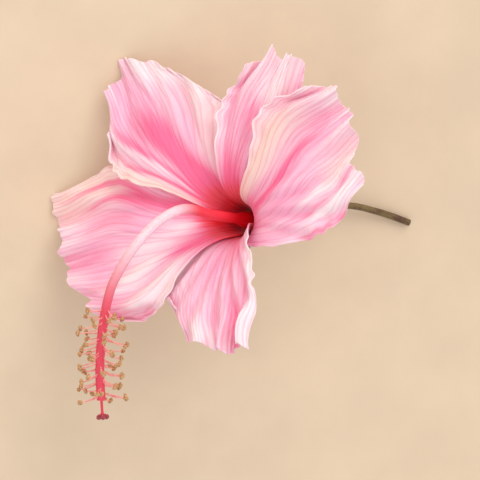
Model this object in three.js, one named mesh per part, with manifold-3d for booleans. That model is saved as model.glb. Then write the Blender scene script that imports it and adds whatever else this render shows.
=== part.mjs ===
// A hibiscus flower, picked with its stalk and laid on a flat surface.
// Millimetres. Each piece is modelled in the flower's own frame: the origin is the middle of
// the petal bases, +Z runs out of the throat, and angles turn about it from +X towards +Y.
// The finished flower is then tipped onto the rims of two petals and the cut end of its stalk,
// which are its three low points. +Z is then up from the surface.

import * as THREE from 'three';
import { mergeVertices } from 'three/addons/utils/BufferGeometryUtils.js';
import Module from 'manifold-3d';

const wasm = await Module();
wasm.setup();

// Petals
const PETAL_LENGTH = 69; // along the midrib, claw to rim
const PETAL_WIDTH = 52;
const PETAL_THICKNESS = 0.8;
const CLAW_WIDTH = 4.2; // at the petal's narrow base
const CLAW_RING_RADIUS = 4.2; // middle of the petal bases
const THROAT_ANGLE = 14; // degrees from the axis, at the claw
const RIM_ANGLE = 96; // degrees from the axis, at the rim
const BEND_START = 0.1; // shares of the length between which the petal spreads
const BEND_END = 0.76;
const EARLY_BEND_END = 0.42; // some of the spreading is done by here
const EARLY_BEND_SHARE = 0.45;
const FUNNEL_STEPS = 40;
const OPENING_SHARPNESS = 6; // how soon the opening changes from petal to petal
const WIDENS_FROM = -0.06; // shares of the length
const WIDEST_AT = 0.74;
const RIM_WIDTH_SHARE = 0.8; // width left at the far corners
const CLOSING = 1.3; // over 1 keeps the petal wide for longer
const SWAY_FROM = 0.12; // shares of the length where the midrib turns aside
const SWAY_TO = 0.75;
const RIM_FROM = 0.55; // share of the length where the rim's own shape begins
const CORNER_ROUNDING = 2.4;
const NOTCH_DEPTH = 1.6;
const COARSE_NOTCHES = 7.3; // radians from middle to side
const FINE_NOTCHES = 13;
const FINE_NOTCH_SHARE = 0.6;
const SIDE_WAVE = 0.05; // share of the width
const SIDE_WAVES = 15; // radians from claw to rim
const OVERLAP_LIFT = 2.6; // one edge of each petal rides over its neighbour by this
const CLAW_LIFT_SHARE = 0.22;
const PLEATS_ROUND_FLOWER = 26;
const PLEAT_DEPTH = 0.75;
const RIM_RUFFLE = 1.92;
const SIDE_RUFFLE = 1.2;
const RUFFLES_ACROSS = 3.2;
const FOLD_FROM = 0.3; // shares of the way from midrib to side
const FOLD_TO = 0.75;
const DROOP_FROM = 0.72;
const ROWS_ALONG = 18;
const ROWS_ACROSS = 16;

// turn: where the midrib ends up, ahead and behind: share of the usual width on each side of it,
// opening: added to the rim angle, skew: how much longer the petal is on the side ahead,
// fold: how far that side stands up near the rim, droop: share of the fold by which its edge
// falls again, phase: of its waves. Behind and ahead: widening, above 1 where the petal stays
// narrow for longer, and corners, the share by which they fall short of the tip.
const PETALS = [
  {
    turn: -47, length: 1.06, ahead: 0.87, behind: 0.86, opening: 0, skew: 0.01, fold: 0, droop: 0,
    phase: 0.4, widening: [1.4, 2.6], corners: [0.36, 0.22],
  },
  {
    turn: 20, length: 1.015, ahead: 1.26, behind: 1.04, opening: 0, skew: -0.07, fold: 6, droop: 2.1,
    phase: 2.3, widening: [1.7, 2.9], corners: [0, 0.08],
  },
  {
    turn: 108, length: 0.86, ahead: 0.64, behind: 0.95, opening: -26, skew: 0.045, fold: 0, droop: 0,
    phase: 4, widening: [0.97, 1.5], corners: [0.24, -0.04],
  },
  {
    turn: 222, length: 0.975, ahead: 0.69, behind: 1.11, opening: -4, skew: 0.12, fold: 3.6, droop: 0.1,
    phase: 0.9, widening: [2.15, 1.28], corners: [-0.06, 0.16],
  },
  {
    turn: 252.5, length: 0.98, ahead: 0.52, behind: 0.66, opening: 0, skew: 0, fold: 0, droop: 0,
    phase: 1.2, widening: [1.3, 1.5], corners: [0.24, 0.12],
  },
];
const FIRST_CLAW_TURN = -32; // the claws stand evenly round the axis from here
const CLAW_STEP = 360 / PETALS.length;

// How the picked flower lies: it is rolled about its own axis, then the axis is tipped from
// upright, so that two petal rims and the cut end of the stalk touch the surface
const LYING_ROLL = -68.594;
const LYING_TILT = 45.906;

// Where one piece sits on another
const SEAT_GAP = 0.3;

// Staminal column. Its path starts on the axis at the petal bases and hangs to one side.
const COLUMN_PATH = [
  [0, 0, -1], [0, 0, 12], [0, 0, 28], [4.1, -0.5, 40.5], [8, 4.5, 48.5], [12, 13, 54],
  [15.2, 21.5, 56.6], [17.3, 28.5, 57.3], [18.7, 42.4, 56.4], [18.5, 56, 54.5], [17.3, 65.5, 52.7],
];
const COLUMN_PATH_SPARE = 1; // the path runs this far past each end of the tube
const COLUMN_RADIUS = 1.75;
const COLUMN_TIP_RADIUS = 1.45;
const COLUMN_FOOT_RADIUS = 2.8;
const COLUMN_FOOT_LENGTH = 13; // it narrows from the ovary's top to here
const COLUMN_WALL = 0.65;
const COLUMN_STEPS = 28;
const COLUMN_SIDES = 8;

// Stamens, on the last stretch of the column
const STAMEN_COUNT = 36;
const STAMEN_SEED = 11;
const STAMEN_ZONE = 30;
const STAMEN_CLEAR_END = 1.2; // bare column beyond the last stamen
const GOLDEN_ANGLE = 137.508;
const STAMEN_TURN_SPREAD = 24; // degrees, at random
const FILAMENT_LENGTH = 6.2;
const FILAMENT_LENGTH_SPREAD = 0.4; // share of the length, at random
const FILAMENT_RADIUS = 0.36;
const FILAMENT_TIP_SHARE = 0.85;
const FILAMENT_SIDES = 4;
const FILAMENT_LEAN = 12; // degrees forwards
const FILAMENT_LEAN_SPREAD = 18; // degrees, at random
const ANTHER_LENGTH = 2.4;
const ANTHER_WIDTH = 1.6;
const ANTHER_THICKNESS = 1.3;

// Pistil
const OVARY_RADIUS = 1.9;
const OVARY_LENGTH = 5;
const OVARY_STEPS = 6;
const STYLE_RADIUS = 0.45;
const STYLE_SIDES = 6;
const STYLE_BEYOND = 3.2; // past the end of the path
const STIGMAS = 5;
const STIGMA_BRANCH = 2.2;
const STIGMA_SPREAD = 0.75;
const STIGMA_RADIUS = 0.8;

// Calyx
const CALYX_LOBES = 5;
const CALYX_FACES_PER_LOBE = 6;
const CALYX_FIRST_LOBE = 16; // degrees, a little past half way between two claws
const CALYX_CUP_HEIGHT = 11;
const CALYX_LOBE_HEIGHT = 8;
const CALYX_CLEARANCE = 0.45; // to the outermost petal edge
const CALYX_FLARE = 1.2; // how far the lobes stand off from the petals
const CALYX_FLARE_FROM = 0.6; // share of the cup's height
const CALYX_LOBE_POINT = 0.8; // under 1 rounds the lobes' sides
const CALYX_WALL = 0.9;
const CALYX_ROWS = 7;
const CALYX_FOOT_RADIUS = 4.6;

// Epicalyx
const BRACTS = 7;
const BRACT_LENGTH = 10.5;
const BRACT_WIDTH = 2.2;
const BRACT_THICKNESS = 0.8;
const BRACT_RISE = 38; // degrees, at the root
const BRACT_BEND = 50; // degrees turned down from root to tip
const BRACT_KEEL = 0.25;
const BRACT_SIZE_SPREAD = 0.12; // shares by which the bracts differ
const BRACT_BEND_SPREAD = 0.25;
const BRACT_TURN_SPREAD = 9; // degrees
const BRACT_ROWS = 6;
const BRACT_COLUMNS = 2;
const EPICALYX_RING_HEIGHT = 1.8;
const EPICALYX_RING_THICKNESS = 1.1;
const EPICALYX_RING_SIDES = 28;

// Stalk. Its path starts under the calyx and ends at the cut.
const STALK_PATH = [
  [0, 0, -1.6], [0, 0, -5], [-1.6, -0.5, -13], [-4.7, -3.5, -24.6], [-8.5, -7.4, -35.2],
  [-12.8, -9.7, -43.6], [-20.1, -8.9, -54.1], [-26.8, -6.9, -62.8],
];
const STALK_RADIUS = 1.15;
const STALK_SEAT_RADIUS = 3.4;
const STALK_SEAT_LENGTH = 5;
const STALK_JOINT_AT = 17; // below the seat
const STALK_JOINT_SWELL = 0.45;
const STALK_JOINT_LENGTH = 1.6;
const STALK_STEPS = 26;
const STALK_SIDES = 10;

const HALVINGS = 24; // of the range, when a distance is looked for
const FRAME_COUNT = 200; // untwisted frames worked out along each curve
const RADIANS = Math.PI / 180;

function clamp01(x) {
  return Math.min(1, Math.max(0, x));
}

function smooth(from, to, x) {
  const t = clamp01((x - from) / (to - from));
  return t * t * (3 - 2 * t);
}

// How much wider the flower opens at a given turn round its axis: a smooth mix of its petals
function openingAt(turn) {
  let sum = 0;
  let weights = 0;
  for (const petal of PETALS) {
    const near = Math.max(0, Math.cos((turn - petal.turn) * RADIANS)) ** OPENING_SHARPNESS;
    sum += near * petal.opening;
    weights += near;
  }
  return sum / weights;
}

// The funnel that all petals lie on: radius, height and slope at a distance along a midrib
function funnel(turn, distance) {
  const spread = RIM_ANGLE + openingAt(turn) - THROAT_ANGLE;
  const step = distance / FUNNEL_STEPS;
  let radius = CLAW_RING_RADIUS;
  let height = 0;
  let angle = THROAT_ANGLE * RADIANS;
  for (let i = 0; i < FUNNEL_STEPS; i += 1) {
    const share = ((i + 0.5) * step) / PETAL_LENGTH;
    const early = EARLY_BEND_SHARE * smooth(BEND_START, EARLY_BEND_END, share);
    const bend = early + (1 - EARLY_BEND_SHARE) * smooth(BEND_START, BEND_END, share);
    angle = (THROAT_ANGLE + spread * bend) * RADIANS;
    radius += Math.sin(angle) * step;
    height += Math.cos(angle) * step;
  }
  return { radius, height, angle };
}

// Width of a petal on the side of its midrib that a point lies on
function halfWidth(petal, along, across) {
  const widest = (PETAL_WIDTH * (across > 0 ? petal.ahead : petal.behind)) / 2;
  const claw = CLAW_WIDTH / 2;
  const widening = petal.widening[across > 0 ? 1 : 0];
  const grown = claw + (widest - claw) * smooth(WIDENS_FROM, WIDEST_AT, along) ** widening;
  const closing = smooth(WIDEST_AT, 1, along) ** CLOSING;
  return grown * (1 - (1 - RIM_WIDTH_SHARE) * closing);
}

// How far a petal's edges stand in front of and behind the funnel
function overlapLift(along) {
  return OVERLAP_LIFT * (CLAW_LIFT_SHARE + (1 - CLAW_LIFT_SHARE) * smooth(0.05, 0.5, along));
}

// Where the midrib stands round the axis: it sways from the claw's even place to its own
function midribTurn(petal, index, along) {
  const clawTurn = FIRST_CLAW_TURN + CLAW_STEP * index;
  const sway = ((petal.turn - clawTurn + 540) % 360) - 180;
  return clawTurn + sway * smooth(SWAY_FROM, SWAY_TO, along);
}

// Distance from the claw: the rim is notched, and its corners fall short of its middle
function distanceAlong(petal, along, across) {
  const edge = Math.abs(across);
  const rim = smooth(RIM_FROM, 1, along);
  const corner = petal.corners[across > 0 ? 1 : 0] * edge ** CORNER_ROUNDING * along ** 3;
  const notches = Math.sin(across * COARSE_NOTCHES + petal.phase * 3)
    + FINE_NOTCH_SHARE * Math.sin(across * FINE_NOTCHES + petal.phase);
  return PETAL_LENGTH * petal.length * along * (1 - corner) * (1 + petal.skew * across * rim)
    + NOTCH_DEPTH * notches * rim ** 3 * (1 - edge ** 6);
}

// Distance from the midrib, along the funnel's round
function distanceAcross(petal, along, across) {
  const rim = smooth(RIM_FROM, 1, along);
  const wave = Math.sin(along * SIDE_WAVES + petal.phase * 2 + (across > 0 ? 1.5 : 0));
  return across * halfWidth(petal, along, across) * (1 + SIDE_WAVE * wave * rim);
}

// How far the petal stands in front of the funnel: its overlap, pleats, ruffles and folded side
function riseAt(petal, along, across, turn) {
  const edge = Math.abs(across);
  const rim = smooth(RIM_FROM, 1, along);
  const pleat = Math.cos(turn * RADIANS * PLEATS_ROUND_FLOWER) * smooth(0.25, 0.7, along);
  const ruffle = Math.sin(across * RUFFLES_ACROSS * Math.PI + petal.phase + along * 2);
  const ruffleDepth = RIM_RUFFLE * rim ** 2 + SIDE_RUFFLE * edge ** 4 * smooth(0.45, 0.8, along);
  const crest = smooth(FOLD_FROM, FOLD_TO, across) - petal.droop * smooth(DROOP_FROM, 1, across);
  const fold = petal.fold * crest * smooth(0.5, 0.9, along);
  return overlapLift(along) * across + PLEAT_DEPTH * pleat + ruffleDepth * ruffle + fold;
}

// A point of the petal's middle surface. along runs 0..1 from claw to rim, across -1..1.
function petalPoint(petal, index, along, across) {
  const distance = distanceAlong(petal, along, across);
  const midrib = midribTurn(petal, index, along);
  const turn = midrib + distanceAcross(petal, along, across) / funnel(midrib, distance).radius / RADIANS;
  const { radius, height, angle } = funnel(turn, distance);
  const rise = riseAt(petal, along, across, turn);
  const outward = radius - Math.cos(angle) * rise;
  return new THREE.Vector3(
    outward * Math.cos(turn * RADIANS),
    outward * Math.sin(turn * RADIANS),
    height + Math.sin(angle) * rise,
  );
}

function meshOf(positions, indices) {
  const geometry = new THREE.BufferGeometry();
  geometry.setAttribute('position', new THREE.Float32BufferAttribute(positions, 3));
  geometry.setIndex(indices);
  geometry.computeVertexNormals();
  return geometry;
}

// A closed blade of even thickness about a middle surface, split alike on both faces
function bladeGeometry(pointAt, rows, columns, thickness) {
  const positions = [];
  const step = 1e-3; // for the slopes, in shares of the blade
  for (const side of [1, -1]) {
    for (let i = 0; i <= rows; i += 1) {
      for (let j = 0; j <= columns; j += 1) {
        const along = i / rows;
        const across = (2 * j) / columns - 1;
        const here = pointAt(along, across);
        const alongAway = along > 0.5 ? -step : step;
        const acrossAway = across > 0 ? -step : step;
        const u = pointAt(along + alongAway, across).sub(here).multiplyScalar(Math.sign(alongAway));
        const v = pointAt(along, across + acrossAway).sub(here).multiplyScalar(Math.sign(acrossAway));
        const normal = u.cross(v).normalize();
        here.addScaledVector(normal, (side * thickness) / 2);
        positions.push(here.x, here.y, here.z);
      }
    }
  }
  const width = columns + 1;
  const layer = (rows + 1) * width;
  const indices = [];
  for (let i = 0; i < rows; i += 1) {
    for (let j = 0; j < columns; j += 1) {
      const a = i * width + j;
      const b = a + 1;
      const c = a + width;
      const d = c + 1;
      const flip = (i + j) % 2 === 0;
      const faces = flip ? [[a, c, b], [b, c, d]] : [[a, c, d], [a, d, b]];
      for (const [p, q, r] of faces) {
        indices.push(p, q, r);
        indices.push(p + layer, r + layer, q + layer);
      }
    }
  }
  const rimLoop = [];
  for (let j = 0; j < columns; j += 1) {
    rimLoop.push(j);
  }
  for (let i = 0; i < rows; i += 1) {
    rimLoop.push(i * width + columns);
  }
  for (let j = columns; j > 0; j -= 1) {
    rimLoop.push(rows * width + j);
  }
  for (let i = rows; i > 0; i -= 1) {
    rimLoop.push(i * width);
  }
  rimLoop.forEach((p, k) => {
    const q = rimLoop[(k + 1) % rimLoop.length];
    indices.push(p, q, q + layer);
    indices.push(p, q + layer, p + layer);
  });
  return meshOf(positions, indices);
}

// A closed mesh as a solid that can be joined and cut
function toSolid(geometry) {
  const bare = geometry.clone();
  bare.deleteAttribute('normal');
  bare.deleteAttribute('uv');
  const merged = mergeVertices(bare, 1e-5);
  return new wasm.Manifold(new wasm.Mesh({
    numProp: 3,
    vertProperties: new Float32Array(merged.attributes.position.array),
    triVerts: new Uint32Array(merged.index.array),
  }));
}

function toGeometry(solid) {
  const mesh = solid.getMesh();
  const geometry = new THREE.BufferGeometry();
  geometry.setAttribute('position', new THREE.BufferAttribute(mesh.vertProperties, 3));
  geometry.setIndex(new THREE.BufferAttribute(mesh.triVerts, 1));
  geometry.computeVertexNormals();
  return geometry;
}

function joined(geometries) {
  return geometries.map(toSolid).reduce((whole, piece) => whole.add(piece));
}

// A closed round rod along a curve, from one share of it to another, its radius by share
function rodGeometry(curve, from, to, steps, sides, radiusAt) {
  const positions = [];
  const indices = [];
  const frames = curveFrames(curve);
  for (let i = 0; i <= steps; i += 1) {
    const share = from + ((to - from) * i) / steps;
    const { centre, sideways, upwards } = frames(share);
    const radius = radiusAt(share);
    for (let k = 0; k < sides; k += 1) {
      const turn = (2 * Math.PI * k) / sides;
      const point = centre.clone()
        .addScaledVector(sideways, radius * Math.cos(turn))
        .addScaledVector(upwards, radius * Math.sin(turn));
      positions.push(point.x, point.y, point.z);
    }
  }
  const start = (steps + 1) * sides;
  const end = start + 1;
  for (const share of [from, to]) {
    const { centre } = frames(share);
    positions.push(centre.x, centre.y, centre.z);
  }
  for (let k = 0; k < sides; k += 1) {
    const next = (k + 1) % sides;
    indices.push(start, next, k);
    indices.push(end, steps * sides + k, steps * sides + next);
    for (let i = 0; i < steps; i += 1) {
      const a = i * sides + k;
      const b = i * sides + next;
      indices.push(a, b, a + sides);
      indices.push(b, b + sides, a + sides);
    }
  }
  return meshOf(positions, indices);
}

// Untwisted frames along a curve, as a function of the share of its length
function curveFrames(curve) {
  const frames = curve.computeFrenetFrames(FRAME_COUNT, false);
  return (share) => {
    const index = Math.round(clamp01(share) * FRAME_COUNT);
    const forwards = curve.getTangentAt(clamp01(share));
    const sideways = frames.normals[index].clone();
    sideways.addScaledVector(forwards, -sideways.dot(forwards)).normalize();
    const upwards = forwards.clone().cross(sideways);
    return { centre: curve.getPointAt(clamp01(share)), forwards, sideways, upwards };
  };
}

function curveThrough(points) {
  const places = points.map((point) => new THREE.Vector3(...point));
  return new THREE.CatmullRomCurve3(places, false, 'centripetal');
}

// Repeatable random numbers for the stamens
function seededRandom(seed) {
  let state = seed;
  return () => {
    state = (state * 1664525 + 1013904223) % 4294967296;
    return state / 4294967296;
  };
}

// The column's outer radius by share of its path, wide round the ovary and slender beyond
function columnRadius(share, length) {
  const slender = COLUMN_TIP_RADIUS + (COLUMN_RADIUS - COLUMN_TIP_RADIUS) * (1 - share);
  const foot = 1 - smooth(OVARY_LENGTH, COLUMN_FOOT_LENGTH, share * length);
  return slender + (COLUMN_FOOT_RADIUS - COLUMN_RADIUS) * foot;
}

// The staminal column: a tube that grows out of the throat and hangs, set with stamens
function staminalColumn() {
  const curve = curveThrough(COLUMN_PATH);
  const length = curve.getLength();
  const spare = COLUMN_PATH_SPARE / length;
  const outer = (share) => columnRadius(share, length);
  const inner = (share) => outer(share) - COLUMN_WALL;
  const tube = toSolid(rodGeometry(curve, spare, 1 - spare, COLUMN_STEPS, COLUMN_SIDES, outer));
  const bore = toSolid(rodGeometry(curve, 0, 1, COLUMN_STEPS, COLUMN_SIDES, inner));
  return toGeometry(tube.subtract(bore).add(joined(stamens(curve, length))));
}

// Filaments and anthers spiralling up the last stretch of the column
function stamens(curve, length) {
  const random = seededRandom(STAMEN_SEED);
  const scatter = () => random() - 0.5;
  const frames = curveFrames(curve);
  const pieces = [];
  for (let i = 0; i < STAMEN_COUNT; i += 1) {
    const fromEnd = STAMEN_CLEAR_END + STAMEN_ZONE * (1 - (i + 0.5) / STAMEN_COUNT);
    const share = 1 - fromEnd / length;
    const turn = (i * GOLDEN_ANGLE + STAMEN_TURN_SPREAD * scatter()) * RADIANS;
    const reach = FILAMENT_LENGTH * (1 + FILAMENT_LENGTH_SPREAD * scatter());
    const lean = (FILAMENT_LEAN + FILAMENT_LEAN_SPREAD * scatter()) * RADIANS;
    const { centre, forwards, sideways, upwards } = frames(share);
    const out = sideways.clone().multiplyScalar(Math.cos(turn))
      .addScaledVector(upwards, Math.sin(turn));
    const direction = out.clone().multiplyScalar(Math.cos(lean))
      .addScaledVector(forwards, Math.sin(lean));
    const foot = centre.clone()
      .addScaledVector(out, columnRadius(share, length) - COLUMN_WALL / 2);
    const tip = foot.clone().addScaledVector(direction, reach);
    pieces.push(filament(foot, direction, reach));
    pieces.push(anther(tip, direction, random() * Math.PI));
  }
  return pieces;
}

// Turns a piece that stands along +Y into a direction and moves it to a place
function pointedAlong(geometry, direction, place) {
  const upright = new THREE.Vector3(0, 1, 0);
  geometry.applyQuaternion(new THREE.Quaternion().setFromUnitVectors(upright, direction));
  return geometry.translate(place.x, place.y, place.z);
}

function filament(foot, direction, reach) {
  const tipRadius = FILAMENT_RADIUS * FILAMENT_TIP_SHARE;
  const geometry = new THREE.CylinderGeometry(tipRadius, FILAMENT_RADIUS, reach, FILAMENT_SIDES, 1);
  geometry.translate(0, reach / 2, 0);
  return pointedAlong(geometry, direction, foot);
}

function anther(tip, direction, spin) {
  const geometry = new THREE.IcosahedronGeometry(1, 0);
  geometry.scale(ANTHER_LENGTH / 2, ANTHER_THICKNESS / 2, ANTHER_WIDTH / 2);
  geometry.rotateY(spin);
  return pointedAlong(geometry, direction, tip);
}

// The pistil: the ovary at the foot of the column, the style up its bore, five stigmas beyond
function pistil() {
  const curve = curveThrough(COLUMN_PATH);
  const length = curve.getLength();
  const ovaryFrom = COLUMN_PATH_SPARE / length;
  const ovaryTo = (COLUMN_PATH_SPARE + OVARY_LENGTH) / length;
  const ovaryRadius = (share) => {
    const along = (share - ovaryFrom) / (ovaryTo - ovaryFrom);
    const bulge = Math.sqrt(Math.max(0, 1 - (2 * along - 1) ** 2));
    return Math.max(STYLE_RADIUS, OVARY_RADIUS * bulge);
  };
  const styleRadius = () => STYLE_RADIUS;
  const { centre, forwards, sideways, upwards } = curveFrames(curve)(1);
  const pieces = [
    rodGeometry(curve, ovaryFrom, ovaryTo, OVARY_STEPS, COLUMN_SIDES, ovaryRadius),
    rodGeometry(curve, ovaryTo * 0.9, 1, COLUMN_STEPS, STYLE_SIDES, styleRadius),
    sprig(centre, forwards, STYLE_BEYOND, STYLE_RADIUS),
  ];
  const fork = centre.clone().addScaledVector(forwards, STYLE_BEYOND * 0.8);
  for (let i = 0; i < STIGMAS; i += 1) {
    const turn = (2 * Math.PI * i) / STIGMAS;
    const direction = forwards.clone()
      .addScaledVector(sideways, STIGMA_SPREAD * Math.cos(turn))
      .addScaledVector(upwards, STIGMA_SPREAD * Math.sin(turn))
      .normalize();
    const tip = fork.clone().addScaledVector(direction, STIGMA_BRANCH);
    const head = new THREE.IcosahedronGeometry(STIGMA_RADIUS, 0);
    pieces.push(sprig(fork, direction, STIGMA_BRANCH, STYLE_RADIUS * 0.8));
    pieces.push(head.translate(tip.x, tip.y, tip.z));
  }
  return toGeometry(joined(pieces));
}

// A short straight rod, its root sunk a little below its foot
function sprig(foot, direction, reach, radius) {
  const curve = new THREE.LineCurve3(
    foot.clone().addScaledVector(direction, -radius),
    foot.clone().addScaledVector(direction, reach),
  );
  return rodGeometry(curve, 0, 1, 1, STYLE_SIDES, () => radius);
}

// Height of the calyx's rim: the cup, and the lobe over it
function calyxTop(turn) {
  const lobes = ((turn - CALYX_FIRST_LOBE) / 360) * CALYX_LOBES;
  const fromLobe = Math.abs(lobes - Math.round(lobes)) * 2;
  return CALYX_CUP_HEIGHT + CALYX_LOBE_HEIGHT * (1 - fromLobe) ** CALYX_LOBE_POINT;
}

// A point of the calyx's wall, wall millimetres outside its inner face, share 0..1 from its foot
function calyxPoint(turn, share, wall) {
  const height = calyxTop(turn) * share;
  const flareFrom = CALYX_CUP_HEIGHT * CALYX_FLARE_FROM;
  const flare = CALYX_FLARE * smooth(flareFrom, CALYX_CUP_HEIGHT + CALYX_LOBE_HEIGHT, height);
  return { radius: petalOuterRadius(turn, height) + CALYX_CLEARANCE + flare + wall, height };
}

// The calyx: a cup round the petal bases whose rim is drawn up into five pointed lobes
function calyx() {
  const floor = -SEAT_GAP;
  const profile = [() => ({ radius: CALYX_FOOT_RADIUS, height: floor - CALYX_WALL })];
  for (let i = 0; i <= CALYX_ROWS; i += 1) {
    profile.push((turn) => calyxPoint(turn, i / CALYX_ROWS, CALYX_WALL));
  }
  for (let i = CALYX_ROWS; i > 0; i -= 1) {
    profile.push((turn) => calyxPoint(turn, i / CALYX_ROWS, 0));
  }
  profile.push((turn) => ({ radius: calyxPoint(turn, 0, 0).radius, height: floor }));

  const turns = CALYX_LOBES * CALYX_FACES_PER_LOBE;
  const positions = [];
  for (const pointAt of profile) {
    for (let k = 0; k < turns; k += 1) {
      const turn = (360 * k) / turns;
      const { radius, height } = pointAt(turn);
      positions.push(radius * Math.cos(turn * RADIANS), radius * Math.sin(turn * RADIANS), height);
    }
  }
  const bottom = profile.length * turns;
  const top = bottom + 1;
  positions.push(0, 0, floor - CALYX_WALL);
  positions.push(0, 0, floor);
  const indices = [];
  for (let k = 0; k < turns; k += 1) {
    const next = (k + 1) % turns;
    const last = (profile.length - 1) * turns;
    indices.push(bottom, next, k);
    indices.push(top, last + k, last + next);
    for (let start = 0; start < last; start += turns) {
      indices.push(start + k, start + next, start + turns + k);
      indices.push(start + next, start + turns + next, start + turns + k);
    }
  }
  return meshOf(positions, indices);
}

// Radius of the outermost petal edge at a height above the petal bases
function petalOuterRadius(turn, height) {
  let low = 0;
  let high = PETAL_LENGTH / 2;
  for (let i = 0; i < HALVINGS; i += 1) {
    const middle = (low + high) / 2;
    if (funnel(turn, middle).height < height) {
      low = middle;
    } else {
      high = middle;
    }
  }
  return funnel(turn, low).radius + overlapLift(low / PETAL_LENGTH) + PETAL_THICKNESS / 2;
}

// Inner radius of the epicalyx's ring, which fits round the calyx's cup, at a height on it
function epicalyxRadius(height) {
  return calyxPoint(0, height / calyxTop(0), CALYX_WALL).radius + SEAT_GAP;
}

// The epicalyx: a ring of narrow bracts that spread and bend down, outside the calyx
function epicalyx() {
  const low = epicalyxRadius(0);
  const high = epicalyxRadius(EPICALYX_RING_HEIGHT);
  const outline = [
    new THREE.Vector2(low, 0),
    new THREE.Vector2(low + EPICALYX_RING_THICKNESS, 0),
    new THREE.Vector2(high + EPICALYX_RING_THICKNESS, EPICALYX_RING_HEIGHT),
    new THREE.Vector2(high, EPICALYX_RING_HEIGHT),
    new THREE.Vector2(low, 0),
  ];
  const ring = new THREE.LatheGeometry(outline, EPICALYX_RING_SIDES);
  ring.rotateX(Math.PI / 2);
  const pieces = [ring];
  for (let i = 0; i < BRACTS; i += 1) {
    pieces.push(bract(i, low + BRACT_THICKNESS * 0.7));
  }
  return toGeometry(joined(pieces));
}

// One bract, its root sunk in the ring. Each differs a little in place, size and bend.
function bract(index, rootRadius) {
  const turn = (360 * index) / BRACTS + BRACT_TURN_SPREAD * Math.sin(index * 2.4);
  const length = BRACT_LENGTH * (1 + BRACT_SIZE_SPREAD * Math.sin(index * 3.7));
  const bend = BRACT_BEND * (1 + BRACT_BEND_SPREAD * Math.sin(index * 5.1));
  const pointAt = (along, across) => {
    const angle = (BRACT_RISE - bend * along) * RADIANS;
    const half = (BRACT_WIDTH / 2) * Math.sin(Math.PI * (0.2 + 0.72 * along)) ** 0.8;
    const keel = BRACT_KEEL * (1 - across * across) * (1 - along);
    const local = new THREE.Vector3(
      rootRadius + Math.cos(angle) * along * length,
      half * across,
      EPICALYX_RING_HEIGHT * 0.55 + Math.sin(angle) * along * length - keel,
    );
    return local.applyAxisAngle(new THREE.Vector3(0, 0, 1), turn * RADIANS);
  };
  return bladeGeometry(pointAt, BRACT_ROWS, BRACT_COLUMNS, BRACT_THICKNESS);
}

// The stalk: from its cut end past a joint to the swollen seat under the calyx
function stalk() {
  const curve = curveThrough(STALK_PATH);
  const length = curve.getLength();
  const radiusAt = (share) => {
    const fromSeat = share * length;
    const fromJoint = (fromSeat - STALK_JOINT_AT) / STALK_JOINT_LENGTH;
    const joint = STALK_JOINT_SWELL * Math.exp(-(fromJoint ** 2));
    const seat = (STALK_SEAT_RADIUS - STALK_RADIUS) * (1 - smooth(0, STALK_SEAT_LENGTH, fromSeat));
    return STALK_RADIUS + joint + seat;
  };
  return rodGeometry(curve, 0, 1, STALK_STEPS, STALK_SIDES, radiusAt);
}

const COLOURS = {
  petal: 0xf5a8c4,
  column: 0xe8627f,
  pistil: 0xb0304a,
  calyx: 0x7d9a4a,
  epicalyx: 0x6f8a3e,
  stalk: 0x7a5a34,
};

function addPiece(group, name, geometry, colour, roughness) {
  const material = new THREE.MeshStandardMaterial({ color: colour, roughness, metalness: 0 });
  const mesh = new THREE.Mesh(geometry, material);
  mesh.name = name;
  group.add(mesh);
}

// The flower in its own frame, then rolled about its axis and tipped to lie on the surface
const flower = new THREE.Group();
PETALS.forEach((petal, index) => {
  const pointAt = (along, across) => petalPoint(petal, index, along, across);
  const blade = bladeGeometry(pointAt, ROWS_ALONG, ROWS_ACROSS, PETAL_THICKNESS);
  addPiece(flower, `petal_${index + 1}`, blade, COLOURS.petal, 0.6);
});
addPiece(flower, 'staminal_column', staminalColumn(), COLOURS.column, 0.5);
addPiece(flower, 'pistil', pistil(), COLOURS.pistil, 0.5);
addPiece(flower, 'calyx', calyx(), COLOURS.calyx, 0.7);
addPiece(flower, 'epicalyx', epicalyx(), COLOURS.epicalyx, 0.7);
addPiece(flower, 'stalk', stalk(), COLOURS.stalk, 0.8);

flower.rotation.z = LYING_ROLL * RADIANS;
const lying = new THREE.Group();
lying.rotation.x = LYING_TILT * RADIANS;
lying.add(flower);

// The origin is under the middle of the whole, at the surface
const picked = new THREE.Group();
picked.add(lying);
picked.updateMatrixWorld(true);
const extent = new THREE.Box3().setFromObject(picked, true);
lying.position.set(
  -(extent.min.x + extent.max.x) / 2,
  -(extent.min.y + extent.max.y) / 2,
  -extent.min.z,
);

export default picked;
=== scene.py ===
"""A hibiscus flower, picked with its stalk and laid on a surface, with the finish of the real one.

The flower is shaped in its own frame, in millimetres: the origin is the middle of the petal bases,
+Z runs out of the throat, and angles turn about it from +X towards +Y. Each piece is then carried
into the model's frame, in metres, where the flower lies on the rims of two petals and on the cut
end of its stalk.
"""

import math
from typing import NamedTuple

import bpy
import numpy as np
from mathutils import Matrix, Vector


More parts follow.
